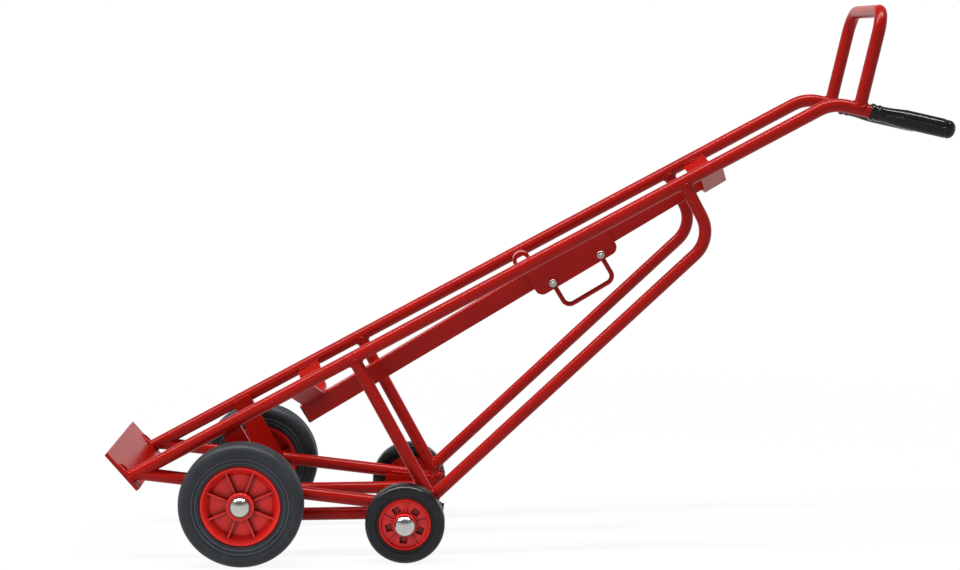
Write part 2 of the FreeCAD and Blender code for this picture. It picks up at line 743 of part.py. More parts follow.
# Axles and wheels
def axle_set(label, middle):
    """Axle with its collars, washers and pressed hub caps."""
    hub = size(f"{label}_hub_length") / 2
    outside = half_track(label) + hub + 2 * size("side_play") + size("washer_thick")
    reach = outside + size("axle_end")
    ends = middle - ACROSS * reach, middle + ACROSS * reach
    keep(f"{label}_axle", rod(f"{label}_axle_bar", *ends, "Sizes.axle"))
    collars = []
    washers = []
    for side, sign in SIDES.items():
        way = ACROSS * sign

        def ring(name, first, last, outer):
            skin = rod(f"{name}_skin", middle + way * first, middle + way * last, outer)
            bore = rod(f"{name}_bore", middle + way * first, middle + way * last, "Sizes.axle")
            return cut(name, skin, [bore])

        inside = half_track(label) - hub - size("side_play")
        thick = size("washer_thick")
        near = ring(f"{label}_near_{side}", inside - thick, inside, "Sizes.washer_outer")
        far = outside - size("side_play")
        out = ring(f"{label}_out_{side}", far - thick, far, "Sizes.washer_outer")
        washers += [near, out]
        collars.append(
            ring(f"{label}_collar_{side}", TUBE_SIDE, inside - thick, "Sizes.collar_outer")
        )
        keep(f"{label}_cap_{side}", hub_cap(f"{label}_cap_body_{side}", middle + way * far, way))
    keep(f"{label}_collars", group(f"{label}_collar_group", collars))
    keep(f"{label}_washers", group(f"{label}_washer_group", washers))


def hub_cap(name, place, way):
    """Domed push-on cap that grips the axle end."""
    outer = size("cap_outer") / 2
    wall = size("cap_wall")
    profile = [
        (AXLE_R, 0, 0),
        (outer, 0, wall / 3),
        (outer, size("cap_height") * 0.45, outer * 0.25),
        (outer * 0.4, size("cap_height"), outer),
        (0, size("cap_height"), 0),
        (0, size("cap_height") - wall, 0),
        (outer * 0.4, size("cap_height") - wall, outer - wall),
        (outer - wall, size("cap_height") * 0.45 - wall / 2, outer * 0.2),
        (outer - wall, wall, 0),
        (AXLE_R, wall, 0),
    ]
    return revolve(name, profile, Placement(place, Rotation(UP, way)))


def both_sides(one_side):
    """Mirror half of a wheel section to its other side."""
    return one_side + [(r, -z, c) for r, z, c in reversed(one_side)]


def front_tyre():
    """Half section of a front tyre: flat bead, stepped band, then a smooth bulging wall."""
    rim = size("front_rim") / 2
    outer = size("front_wheel") / 2
    half = size("front_tyre_width") / 2
    step = size("tyre_step")
    bead = rim + size("tyre_bead")
    band = bead + size("tyre_ring")
    middle = (bead + band) / 2
    return both_sides(
        [
            (rim, half - size("tyre_dish"), 0),
            (bead - step, half - size("tyre_dish") + step, 0),
            (bead, half - 2 * step, 0),
            (middle - step, half - 2 * step, 0),
            (middle, half - step, 0),
            (band - step, half - step, 0),
            (band - step / 2, half - 2 * step, 0),
            (band, half - 2 * step, 0),
            (band + step, half, 0),
            (outer, half, size("tyre_shoulder")),
        ]
    )


def rear_tyre():
    """Half section of a rear tyre: short bead and a round shoulder."""
    rim = size("rear_rim") / 2
    outer = size("rear_wheel") / 2
    half = size("rear_tyre_width") / 2
    step = size("tyre_step")
    return both_sides(
        [
            (rim, half - size("tyre_dish"), 0),
            (rim + size("tyre_dish"), half - step, 0),
            (rim + size("tyre_dish") + step, half, 0),
            (outer, half, size("rear_shoulder")),
        ]
    )


def rim_profile(kind, barrel):
    """Half section of a moulded rim: hub, web and barrel."""
    hub = size(f"{kind}_hub") / 2
    hub_half = size(f"{kind}_hub_length") / 2
    web_half = size(f"{kind}_web") / 2
    rim = size(f"{kind}_rim") / 2
    rim_half = size(f"{kind}_rim_width") / 2
    lip = size("rim_lip")
    blend = size("rim_blend")
    return both_sides(
        [
            (size("hub_bore") / 2, hub_half, 0),
            (hub, hub_half, lip / 2),
            (hub, web_half, blend),
            (barrel - size(f"{kind}_taper"), web_half, blend),
            (barrel, rim_half, lip / 2),
            (rim - lip, rim_half, 0),
            (rim, rim_half - lip, 0),
        ]
    )


def spoke(sketch, near, far, thick, angle):
    """Outline of a radial bar in a rim sketch, turned by an angle."""
    turn = Rotation(UP, angle)
    corners = [(near, -thick / 2), (far, -thick / 2), (far, thick / 2), (near, thick / 2)]
    points = [turn.multVec(Vector(x, y, 0)) for x, y in corners]
    add_outline(sketch, [(point.x, point.y, 0) for point in points])


def wheel(label, place, kind):
    """Tyre, rim and bush of one wheel, about local Z."""
    hub = size(f"{kind}_hub") / 2
    hub_half = size(f"{kind}_hub_length") / 2
    barrel = size(f"{kind}_rim") / 2 - size(f"{kind}_barrel")
    section = front_tyre() if kind == "front" else rear_tyre()
    keep(f"tyre_{label}", revolve(f"tyre_body_{label}", section, place))
    body = revolve(f"rim_body_{label}", rim_profile(kind, barrel), place)
    doc.recompute()
    sketch = sketch_on(body, "XY_Plane")
    near = hub - size("rib_root")
    far = barrel + size("rib_root") / 2
    if kind == "front":
        spoke(sketch, near, far, size("rib_thick"), 0)
        rib = pad(body, sketch, "Sizes.rib_width", both=True)
        repeat(body, rib, sketch, "Sizes.rib_count")
    else:
        deep = size("pocket_depth") / 2
        middle = hub + size("pocket_gap") + deep
        wide = size("pocket_width") / 2
        corner = size("pocket_round")
        add_outline(
            sketch,
            [
                (middle - deep, -wide, corner),
                (middle + deep, -wide, corner),
                (middle + deep, wide, corner),
                (middle - deep, wide, corner),
            ],
        )
        pocket = through(body, sketch)
        repeat(body, pocket, sketch, "Sizes.pocket_count")
        doc.recompute()
        floor = sketch_on(body, "XY_Plane")
        add_circle(floor, 0, 0, "Sizes.rear_hub - 2 * Sizes.pocket_round")
        add_circle(floor, 0, 0, "Sizes.rear_rim - 2 * Sizes.rear_barrel")
        pad(body, floor, "Sizes.pocket_floor", both=True)
        bars = sketch_on(body, "XY_Plane")
        spoke(bars, near, far, size("rear_rib_thick"), 180 / size("pocket_count"))
        rib = pad(body, bars, "Sizes.rear_rib_width", both=True)
        repeat(body, rib, bars, "Sizes.pocket_count")
    keep(f"rim_{label}", body)
    bush = [
        (AXLE_R + size("axle_play"), -hub_half, 0),
        (size("hub_bore") / 2, -hub_half, 0),
        (size("hub_bore") / 2, hub_half, 0),
        (AXLE_R + size("axle_play"), hub_half, 0),
    ]
    keep(f"bush_{label}", revolve(f"bush_body_{label}", bush, place))


def all_wheels():
    """Four wheels, each with its outer face away from the middle."""
    for kind, axle in (("front", FRONT), ("rear", REAR)):
        for side, sign in SIDES.items():
            middle = axle + ACROSS * (sign * half_track(kind))
            pitch = 180 / size("rib_count") if kind == "front" else 240 / size("pocket_count")
            turn = Rotation(UP, ACROSS * sign) * Rotation(UP, pitch)
            wheel(f"{kind}_{side}", Placement(middle, turn), kind)


# Sliding carriage with the rim hook
CARRIAGE_PLACE = Placement(SLIDE_MIDDLE + SLIDE * (SLIDE_LOW + size("carriage_at")), SLIDE_TURN)
CARRIAGE_INSIDE = size("slide_width") / 2 + size("carriage_play")
CARRIAGE_OUT = CARRIAGE_INSIDE + size("carriage_plate")
CARRIAGE_TOP = size("slide_height") / 2 + size("carriage_play") + size("carriage_plate")
BOLT_DOWN = -size("slide_height") / 2 - size("sleeve_outer") / 2 - size("side_play")
BOLTS = (-size("bolt_spacing") / 2, size("bolt_spacing") / 2)


def in_carriage(x, y, z):
    """Point in the carriage: along the slide rail, across, and up from its axis."""
    return CARRIAGE_PLACE.multVec(Vector(x, y, z))


def carriage_shell():
    """Folded carriage: a top plate and two side plates that straddle the slide rail."""
    half = size("carriage_length") / 2
    low = -size("slide_height") / 2 - size("carriage_skirt")
    under = CARRIAGE_TOP - size("carriage_plate")
    fold = size("carriage_plate") + 1
    body = new_body("carriage_body", CARRIAGE_PLACE)
    section = sketch_on(body, "YZ_Plane")
    add_outline(
        section,
        [
            (-CARRIAGE_OUT, low, 0),
            (-CARRIAGE_INSIDE, low, 0),
            (-CARRIAGE_INSIDE, under, 1),
            (CARRIAGE_INSIDE, under, 1),
            (CARRIAGE_INSIDE, low, 0),
            (CARRIAGE_OUT, low, 0),
            (CARRIAGE_OUT, CARRIAGE_TOP, fold),
            (-CARRIAGE_OUT, CARRIAGE_TOP, fold),
        ],
    )
    pad(body, section, "Sizes.carriage_length", both=True)
    doc.recompute()
    trims = sketch_on(body, "XZ_Plane")
    corner = size("carriage_round")
    for sign in SIDES.values():
        centre = Vector(sign * (half - corner), low + corner, 0)
        side = Vector(sign * half, low + corner, 0)
        foot = Vector(sign * (half - corner), low, 0)
        out = centre + Vector(sign, -1, 0).normalize() * corner
        trims.addGeometry(Part.Arc(side, out, foot))
        path = [
            foot,
            foot - Vector(0, 1, 0),
            Vector(sign * (half + 1), low - 1, 0),
            side + Vector(sign, 0, 0),
            side,
        ]
        for first, second in zip(path, path[1:]):
            trims.addGeometry(Part.LineSegment(first, second))
    for x in BOLTS:
        add_circle(trims, x, BOLT_DOWN, "Sizes.bolt")
    through(body, trims)
    keep("carriage_shell", body)


def hook():
    """Hook strip bent over at the top, to pull on the rim of the load."""
    strip = size("hook_strip")
    inner = size("hook_inner")
    outer = inner + strip
    stem = -size("hook_reach") + strip
    centre = stem - outer
    up = CARRIAGE_TOP + size("hook_rise")
    tip = up - size("hook_tip")
    foot = stem + size("hook_foot")
    foot_top = CARRIAGE_TOP + strip
    outline = [
        (foot, CARRIAGE_TOP, 1),
        (foot, foot_top, 2),
        (stem, foot_top, strip),
        (stem, up + outer, outer - 0.01),
        (centre - outer, up + outer, outer - 0.01),
        (centre - outer, tip, 1),
        (centre - inner, tip, 1),
        (centre - inner, up + inner, inner - 0.01),
        (centre + inner, up + inner, inner - 0.01),
        (centre + inner, CARRIAGE_TOP, 0),
    ]
    keep("hook", plate("hook_body", "XZ_Plane", outline, [], "Sizes.hook_width", CARRIAGE_PLACE))


def carriage_bolts():
    """Bolts, nuts, washers and sleeves under the slide rail."""
    washer = size("bolt_washer_thick")
    nut = size("nut")
    bolts = []
    nuts = []
    washers = []
    sleeves = []
    rod_half = size("bail_eye") / 2 + size("eye_play")
    for number, x in enumerate(BOLTS, start=1):

        def span(name, first, last, diameter):
            return rod(name, in_carriage(x, first, BOLT_DOWN), in_carriage(x, last, BOLT_DOWN), diameter)

        def hexagon(name, first, length):
            prism = doc.addObject("Part::Prism", name)
            prism.Polygon = 6
            prism.setExpression("Circumradius", "Sizes.nut_flats / 2 / cos(30 deg)")
            prism.setExpression("Height", f"Sizes.{length}")
            place = in_carriage(x, first, BOLT_DOWN)
            prism.Placement = Placement(place, Rotation(UP, ACROSS))
            return prism

        def ring(name, first, last, outer):
            return cut(name, span(f"{name}_skin", first, last, outer), [
                span(f"{name}_bore", first, last, "Sizes.bolt")
            ])

        outside = CARRIAGE_OUT + washer
        tip = -outside - nut - size("bolt_end")
        shank = span(f"bolt_shank_{number}", tip, outside, "Sizes.bolt")
        head = hexagon(f"bolt_head_{number}", outside, "bolt_head")
        bolts.append(fuse(f"bolt_{number}", [shank, head]))
        nut_bore = span(f"nut_bore_{number}", -outside - nut, -outside, "Sizes.bolt")
        nut_body = hexagon(f"nut_body_{number}", -outside - nut, "nut")
        nuts.append(cut(f"nut_{number}", nut_body, [nut_bore]))
        for sign, first in ((-1, -outside), (1, CARRIAGE_OUT)):
            name = f"washer_{number}_{sign + 1}"
            washers.append(ring(name, first, first + washer, "Sizes.bolt_washer"))
        for sign, first in ((-1, -CARRIAGE_INSIDE), (1, rod_half)):
            last = first + CARRIAGE_INSIDE - rod_half
            sleeves.append(ring(f"sleeve_{number}_{sign + 1}", first, last, "Sizes.sleeve_outer"))
    keep("carriage_bolts", group("bolt_group", bolts))
    keep("carriage_nuts", group("nut_group", nuts))
    keep("carriage_washers", group("washer_group", washers))
    keep("carriage_sleeves", group("sleeve_group", sleeves))


def bail():
    """Pull handle of bent rod, with an eye on each carriage bolt."""
    low = -size("bail_depth")
    wide = size("bolt_spacing")
    path = [
        (0, 0, 0),
        (0, low, size("bail_radius")),
        (wide, low, size("bail_radius")),
        (wide, 0, 0),
    ]
    place = Placement(in_carriage(BOLTS[0], 0, BOLT_DOWN), SLIDE_TURN)
    bar = bent_tube("bail_bar", path, "XY_Plane", place, "bail_rod")
    eyes = []
    bores = []
    half = size("bail_eye") / 2
    for number, x in enumerate(BOLTS, start=1):
        ends = in_carriage(x, -half, BOLT_DOWN), in_carriage(x, half, BOLT_DOWN)
        eyes.append(rod(f"bail_eye_{number}", *ends, "Sizes.sleeve_outer"))
        bores.append(rod(f"bail_bore_{number}", *ends, "Sizes.bolt"))
    keep("bail", cut("bail_cut", fuse("bail_join", [bar] + eyes), bores))


def build():
    """Make every sub-part."""
    toe_plate()
    for side, sign in SIDES.items():
        y = sign * HALF
        side_rail(side, y)
        grip(side, y)
        long_brace(side, y)
        tie_bar(side, sign)
        strut(side, y)
        stay(side, y)
        axle_plate(side, sign)
        gusset(side, sign)
    loop_handle()
    saddle("saddle_lower", size("saddle_low_at"))
    saddle("saddle_upper", size("saddle_high_at"))
    slide_rail()
    axle_set("front", FRONT)
    axle_set("rear", REAR)
    all_wheels()
    carriage_shell()
    hook()
    carriage_bolts()
    bail()
    doc.recompute()


def check_and_write():
    """Check every object, then write one file for each sub-part."""
    for item in doc.Objects:
        if "Invalid" in item.State or "Error" in item.State:
            raise RuntimeError(f"{item.Label} did not build: {item.State}")
    for label, piece in nodes.items():
        if piece.Shape.isNull() or not piece.Shape.isValid() or not piece.Shape.Solids:
            raise RuntimeError(f"{label} has no valid solid")
    os.makedirs("parts", exist_ok=True)
    for label, piece in nodes.items():
        piece.Shape.exportStep(f"parts/{label}.step")
        print(label, len(piece.Shape.Solids), round(piece.Shape.Volume))


build()
check_and_write()
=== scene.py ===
"""Looks of the drum trolley: paint, rubber, steel and the fine detail of its pieces."""
import json
import math

import bpy
from mathutils import Matrix, Vector


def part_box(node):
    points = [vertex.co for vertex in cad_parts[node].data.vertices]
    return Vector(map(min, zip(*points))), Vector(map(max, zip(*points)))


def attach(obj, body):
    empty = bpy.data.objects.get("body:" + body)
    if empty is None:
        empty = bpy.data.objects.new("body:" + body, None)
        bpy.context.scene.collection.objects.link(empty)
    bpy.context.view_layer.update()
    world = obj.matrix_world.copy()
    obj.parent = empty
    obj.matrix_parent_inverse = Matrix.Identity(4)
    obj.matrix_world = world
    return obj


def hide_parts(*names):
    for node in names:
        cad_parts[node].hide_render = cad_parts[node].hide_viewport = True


bl_info = {
    "name": "Drum Trolley Looks",
    "version": (1, 0, 0),
    "blender": (4, 5, 0),
    "location": "View3D > Sidebar > Trolley",
    "description": "Finishes and fine detail for a four-wheel drum trolley",
    "category": "Object",
}

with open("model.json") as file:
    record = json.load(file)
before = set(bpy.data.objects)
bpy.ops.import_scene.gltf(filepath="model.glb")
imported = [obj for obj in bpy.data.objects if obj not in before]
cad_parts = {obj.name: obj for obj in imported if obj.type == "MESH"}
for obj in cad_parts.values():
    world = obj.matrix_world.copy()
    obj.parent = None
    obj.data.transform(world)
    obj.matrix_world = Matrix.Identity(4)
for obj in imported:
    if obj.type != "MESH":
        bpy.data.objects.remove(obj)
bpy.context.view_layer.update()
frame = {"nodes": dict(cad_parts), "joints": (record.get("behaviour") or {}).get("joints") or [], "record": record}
NODES = frame["nodes"]
JOINTS = {joint["name"]: joint for joint in frame["joints"]}
SIDES = {"left": -1.0, "right": 1.0}
ALONG = Vector((1.0, 0.0, 0.0))
ACROSS = Vector((0.0, 1.0, 0.0))
UP = Vector((0.0, 0.0, 1.0))
MM = 0.001

# Bodies of the trolley that the added pieces move with
FRAME = "frame"
CARRIAGE = "carriage"

# Directions and radii of the frame tubes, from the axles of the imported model
FRONT_AXLE = Vector(JOINTS["front_left_wheel_spin"]["pos_m"]) * Vector((1.0, 0.0, 1.0))
REAR_AXLE = Vector(JOINTS["rear_left_wheel_spin"]["pos_m"]) * Vector((1.0, 0.0, 1.0))
SLIDE = Vector(JOINTS["carriage_slide"]["axis"])
SLIDE_UP = SLIDE.cross(ACROSS)
SLOPE = math.radians(27.4)
RAIL = Vector((math.cos(SLOPE), 0.0, math.sin(SLOPE)))
SQUARE = Vector((-math.sin(SLOPE), 0.0, math.cos(SLOPE)))
DROP = math.radians(13.5)
HANDLE = Vector((math.cos(DROP), 0.0, -math.sin(DROP)))
POST = Vector((math.sin(DROP), 0.0, math.cos(DROP)))
SPLAY = math.radians(12.4)
TOE_IN = RAIL * math.cos(SPLAY) + SQUARE * math.sin(SPLAY)
BRACE = (REAR_AXLE - FRONT_AXLE).normalized()
BRACE_UP = BRACE.cross(ACROSS)
RAIL_LIFT = 146.7 * MM
RAIL_SIDE = 155.0 * MM
RAIL_RADIUS = 13.45 * MM
BRACE_RADIUS = 13.2 * MM
BRACE_LIFT = 23.5 * MM
STRUT_RADIUS = 13.0 * MM
STAY_RADIUS = 12.6 * MM
PLATE_FACE = RAIL_SIDE - RAIL_RADIUS
TIE_FACE = PLATE_FACE - 10.8 * MM
TIE_LIFT = 6.4 * MM
SADDLE_PLACES = (204.7 * MM, 1144.0 * MM)


def on_rail(along, square, y=0.0):
    """Point by its distance along and square to the rails from the front axle."""
    return FRONT_AXLE + RAIL * along + SQUARE * square + ACROSS * y


def meet(first, way, second, other_way):
    """Point where two lines in the side view cross."""
    cross = way.x * other_way.z - way.z * other_way.x
    gap = second - first
    return first + way * ((gap.x * other_way.z - gap.z * other_way.x) / cross)


# Points where the tubes start, bend and meet
BRACE_LINE = FRONT_AXLE + BRACE_UP * BRACE_LIFT
STRUT_TOP = on_rail(331.5 * MM, RAIL_LIFT)
STRUT_FOOT = meet(STRUT_TOP, SQUARE, BRACE_LINE, BRACE)
STAY_TOP = on_rail(1082.0 * MM, RAIL_LIFT)
STAY_FOOT = STRUT_FOOT + SQUARE * 24.0 * MM
STAY = (STAY_TOP - SQUARE * 128.0 * MM - STAY_FOOT).normalized()
HANDLE_BEND = on_rail(1416.0 * MM, RAIL_LIFT)
LOOP_FOOT = HANDLE_BEND + HANDLE * 56.0 * MM
GRIP_START = HANDLE_BEND + HANDLE * 77.5 * MM
TOE = on_rail(-181.4 * MM, RAIL_LIFT)
CARRIAGE_MIDDLE = on_rail(674.35 * MM, RAIL_LIFT - 50.2 * MM) + SLIDE * 136.89 * MM

# Width of a weld bead along one ripple, and the sizes of the fasteners
WELD_RIPPLE = (1.0, 0.93, 0.82, 0.93)
BOLT_SPACING = 115.0 * MM
BOLT_FLATS = 13.0 * MM
BOLT_RADIUS = 4.0 * MM
WASHER_RADIUS = 8.0 * MM
WASHER_THICK = 1.6 * MM


class TrolleyPaint(bpy.types.PropertyGroup):
    """Colours of the trolley's finishes."""

    frame_red: bpy.props.FloatVectorProperty(
        name="Frame red",
        description="Powder coat on tubes and plates",
        subtype="COLOR",
        size=3,
        min=0.0,
        max=1.0,
        default=(0.235, 0.003, 0.0014),
    )
    rim_red: bpy.props.FloatVectorProperty(
        name="Rim red",
        description="Moulded plastic of the wheel rims",
        subtype="COLOR",
        size=3,
        min=0.0,
        max=1.0,
        default=(0.5, 0.013, 0.010),
    )
    tyre_black: bpy.props.FloatVectorProperty(
        name="Tyre black",
        description="Solid rubber of the tyres",
        subtype="COLOR",
        size=3,
        min=0.0,
        max=1.0,
        default=(0.0128, 0.0146, 0.0172),
    )
    grip_black: bpy.props.FloatVectorProperty(
        name="Grip black",
        description="Moulded grips and plugs",
        subtype="COLOR",
        size=3,
        min=0.0,
        max=1.0,
        default=(0.0045, 0.0045, 0.0045),
    )
    steel: bpy.props.FloatVectorProperty(
        name="Steel",
        description="Bright plated steel",
        subtype="COLOR",
        size=3,
        min=0.0,
        max=1.0,
        default=(0.62, 0.61, 0.58),
    )


class TrolleyDetail(bpy.types.PropertyGroup):
    """Fine sizes of welds, rubber and fasteners."""

    weld_width: bpy.props.FloatProperty(
        name="Weld width",
        description="Width of the weld beads round the tube ends",
        unit="LENGTH",
        min=0.001,
        max=0.01,
        default=0.0056,
    )
    weld_pitch: bpy.props.FloatProperty(
        name="Weld ripple",
        description="Distance between the ripples of a weld bead",
        unit="LENGTH",
        min=0.0005,
        max=0.01,
        default=0.0024,
    )
    tread_depth: bpy.props.FloatProperty(
        name="Tread depth",
        description="Depth of the grooves round the tyre treads",
        unit="LENGTH",
        min=0.0,
        max=0.004,
        default=0.0014,
    )
    panel_depth: bpy.props.FloatProperty(
        name="Grip panel depth",
        description="Depth of the recesses beside the grip necks",
        unit="LENGTH",
        min=0.0,
        max=0.003,
        default=0.0011,
    )
    thread_pitch: bpy.props.FloatProperty(
        name="Thread pitch",
        description="Pitch of the carriage bolts' thread",
        unit="LENGTH",
        min=0.0005,
        max=0.003,
        default=0.00125,
    )


class TrolleyStage(bpy.types.PropertyGroup):
    """Light and view of the studio."""

    key_power: bpy.props.FloatProperty(
        name="Overhead light",
        description="Power of the long soft light overhead",
        unit="POWER",
        min=0.0,
        default=1350.0,
    )
    front_power: bpy.props.FloatProperty(
        name="Front light",
        description="Power of the soft light beside the camera",
        unit="POWER",
        min=0.0,
        default=70.0,
    )
    ambient: bpy.props.FloatProperty(
        name="Room light",
        description="Strength of the even light all round",
        min=0.0,
        max=2.0,
        default=0.5,
    )
    lens: bpy.props.FloatProperty(
        name="Lens",
        description="Focal length on a 36 mm wide sensor",
        subtype="DISTANCE_CAMERA",
        min=20.0,
        default=76.05,
    )


# Material helpers
def new_material(name):
    """Start a node material and return it with its tree and shader."""
    material = bpy.data.materials.new(name)
    material.use_nodes = True
    tree = material.node_tree
    shader = next(node for node in tree.nodes if node.type == "BSDF_PRINCIPLED")
    return material, tree, shader


def object_coordinates(tree):
    """Object coordinates, which are the trolley's own frame in metres."""
    return tree.nodes.new("ShaderNodeTexCoord").outputs["Object"]


def noise(tree, place, scale, detail=3.0, roughness=0.5):
    """Noise of a given scale per metre."""
    node = tree.nodes.new("ShaderNodeTexNoise")
    node.inputs["Scale"].default_value = scale
    node.inputs["Detail"].default_value = detail
    node.inputs["Roughness"].default_value = roughness
    tree.links.new(place, node.inputs["Vector"])
    return node.outputs["Fac"]


def ramp(tree, factor, low, high, first, second):
    """Blend two colours between two levels of a factor."""
    node = tree.nodes.new("ShaderNodeValToRGB")
    node.color_ramp.elements[0].position = low
    node.color_ramp.elements[1].position = high
    node.color_ramp.elements[0].color = (*first, 1.0)
    node.color_ramp.elements[1].color = (*second, 1.0)
    tree.links.new(factor, node.inputs["Fac"])
    return node.outputs["Color"]


def spread(tree, factor, low, high):
    """Map a factor from 0..1 to a range of values."""
    node = tree.nodes.new("ShaderNodeMapRange")
    node.inputs["To Min"].default_value = low
    node.inputs["To Max"].default_value = high
    tree.links.new(factor, node.inputs["Value"])
    return node.outputs["Result"]


def bump(tree, shader, height, strength, depth):
    """Raise a surface by a height pattern, depth in metres."""
    node = tree.nodes.new("ShaderNodeBump")
    node.inputs["Strength"].default_value = strength
    node.inputs["Distance"].default_value = depth
    tree.links.new(height, node.inputs["Height"])
    tree.links.new(node.outputs["Normal"], shader.inputs["Normal"])


def shade(colour, factor):
    """Darken or lighten a colour."""
    return tuple(min(1.0, part * factor) for part in colour)


def seen_directly(tree, path):
    """One for rays from the camera, a shiny surface or a clear one, else nothing."""
    total = path.outputs["Is Camera Ray"]
    for kind in ("Is Glossy Ray", "Is Transmission Ray"):
        either = tree.nodes.new("ShaderNodeMath")
        either.operation = "MAXIMUM"
        tree.links.new(total, either.inputs[0])
        tree.links.new(path.outputs[kind], either.inputs[1])
        total = either.outputs[0]
    return total


def clouded(tree, place, scale, detail, dark, light):
    """Colour that drifts between a dark and a light shade."""
    return ramp(tree, noise(tree, place, scale, detail), 0.3, 0.7, dark, light)


def uneven_gloss(tree, shader, place, scale, low, high):
    """Roughness that wanders between two values over the surface."""
    gloss = spread(tree, noise(tree, place, scale), low, high)
    tree.links.new(gloss, shader.inputs["Roughness"])


def powder_coat(name, colour):
    """Cloudy red powder coat with a faint orange peel and a soft gloss."""
    material, tree, shader = new_material(name)
    place = object_coordinates(tree)
    tint = clouded(tree, place, 9.0, 2.0, dark=shade(colour, 0.9), light=shade(colour, 1.08))
    tree.links.new(tint, shader.inputs["Base Color"])
    uneven_gloss(tree, shader, place, 40.0, low=0.25, high=0.32)
    peel = noise(tree, place, 260.0, 1.0)
    bump(tree, shader, peel, strength=0.006, depth=0.2 * MM)
    shader.inputs["IOR"].default_value = 1.23
    return material


def moulded_plastic(name, colour, low, high, grain, shine):
    """Moulded plastic with a fine grain and painted shade in its corners."""
    material, tree, shader = new_material(name)
    place = object_coordinates(tree)
    tint = clouded(tree, place, 14.0, 2.0, dark=shade(colour, 0.88), light=shade(colour, 1.1))
    # Painted shade: ambient occlusion darkens the base colour in corners, pockets and creases
    corner = tree.nodes.new("ShaderNodeAmbientOcclusion")
    corner.inputs["Distance"].default_value = 12.0 * MM
    tree.links.new(tint, corner.inputs["Color"])
    tree.links.new(corner.outputs["Color"], shader.inputs["Base Color"])
    uneven_gloss(tree, shader, place, 60.0, low, high)
    bump(tree, shader, noise(tree, place, 600.0, 2.0), strength=grain, depth=0.3 * MM)
    shader.inputs["Specular IOR Level"].default_value = shine
    return material


def solid_rubber(name, colour, low, high):
    """Solid rubber with a dusty bloom and a painted highlight on its ridges."""
    material, tree, shader = new_material(name)
    place = object_coordinates(tree)
    dust = noise(tree, place, 22.0, 4.0, roughness=0.6)
    tint = ramp(tree, dust, 0.35, 0.75, colour, shade(colour, 1.9))
    # Painted highlight: the marked ridges get a much lighter rubber colour, as if they caught the light
    painted_ridge_highlight = tree.nodes.new("ShaderNodeAttribute")
    painted_ridge_highlight.attribute_name = "painted_ridge_highlight"
    mix = tree.nodes.new("ShaderNodeMix")
    mix.data_type = "RGBA"
    tree.links.new(painted_ridge_highlight.outputs["Fac"], mix.inputs["Factor"])
    tree.links.new(tint, mix.inputs["A"])
    mix.inputs["B"].default_value = (*shade(colour, 3.6), 1.0)
    tree.links.new(mix.outputs["Result"], shader.inputs["Base Color"])
    uneven_gloss(tree, shader, place, 30.0, low, high)
    bump(tree, shader, noise(tree, place, 500.0, 2.0), strength=0.06, depth=0.4 * MM)
    shader.inputs["Specular IOR Level"].default_value = 0.25
    return material


def plated_steel(name, colour, low, high):
    """Plated steel with a soft, slightly uneven shine."""
    material, tree, shader = new_material(name)
    place = object_coordinates(tree)
    tint = clouded(tree, place, 35.0, 3.0, dark=shade(colour, 0.85), light=shade(colour, 1.1))
    tree.links.new(tint, shader.inputs["Base Color"])
    uneven_gloss(tree, shader, place, 120.0, low, high)
    bump(tree, shader, noise(tree, place, 700.0, 2.0), strength=0.05, depth=0.3 * MM)
    shader.inputs["Metallic"].default_value = 1.0
    return material


def finish_for(slot):
    """Material of one finish, made once."""
    label = f"{slot}_finish"
    found = bpy.data.materials.get(label)
    if found:
        return found
    paint = bpy.context.scene.trolley_paint
    red = tuple(paint.frame_red)
    rim = tuple(paint.rim_red)
    tyre = tuple(paint.tyre_black)
    black = tuple(paint.grip_black)
    steel = tuple(paint.steel)
    makers = {
        "red_paint": lambda: powder_coat(label, red),
        "rim_plastic": lambda: moulded_plastic(label, rim, low=0.28, high=0.42, grain=0.08, shine=0.3),
        "tyre": lambda: solid_rubber(label, tyre, low=0.42, high=0.6),
        "tyre_rear": lambda: solid_rubber(label, shade(tyre, 0.3), low=0.24, high=0.34),
        "grip_black": lambda: moulded_plastic(label, black, low=0.13, high=0.2, grain=0.03, shine=0.19),
        "plug_black": lambda: moulded_plastic(label, black, low=0.4, high=0.55, grain=0.12, shine=0.3),
        "bush_steel": lambda: plated_steel(label, shade(steel, 0.7), low=0.3, high=0.45),
        "axle_steel": lambda: plated_steel(label, shade(steel, 0.85), low=0.25, high=0.4),
        "cap_steel": lambda: plated_steel(label, shade(steel, 0.85), low=0.17, high=0.23),
        "zinc": lambda: plated_steel(label, shade(steel, 0.5), low=0.2, high=0.32),
    }
    return makers[slot]()


# Modelling helpers
def nothing_selected():
    """Leave the mesh editor and deselect all, so that an operator acts on its own piece."""
    if bpy.context.object and bpy.context.object.mode != "OBJECT":
        bpy.ops.object.mode_set(mode="OBJECT")
    bpy.ops.object.select_all(action="DESELECT")


def take(piece):
    """Select one piece alone and make it active."""
    nothing_selected()
    piece.select_set(True)
    bpy.context.view_layer.objects.active = piece


def turned(name, section, sides):
    """Turn a section of (radius, height) points about Z, ring by ring."""
    nothing_selected()
    radius, height = section[0]
    bpy.ops.mesh.primitive_circle_add(vertices=sides, radius=radius, enter_editmode=True)
    piece = bpy.context.active_object
    piece.name = name
    piece.data.name = name
    bpy.ops.mesh.select_mode(type="VERT")
    bpy.ops.mesh.select_all(action="SELECT")
    bpy.ops.transform.translate(value=(0.0, 0.0, height))
    for wide, high in section[1:]:
        bpy.ops.mesh.extrude_region()
        bpy.ops.transform.translate(value=(0.0, 0.0, high - height))
        if wide == 0.0:
            bpy.ops.mesh.merge(type="CENTER")
            break
        factor = wide / radius
        middle = (0.0, 0.0, high)
        bpy.ops.transform.resize(value=(factor, factor, 1.0), center_override=middle)
        radius, height = wide, high
    bpy.ops.mesh.select_all(action="SELECT")
    bpy.ops.mesh.remove_doubles(threshold=1e-6)
    bpy.ops.mesh.normals_make_consistent(inside=False)
    bpy.ops.object.mode_set(mode="OBJECT")
    return piece


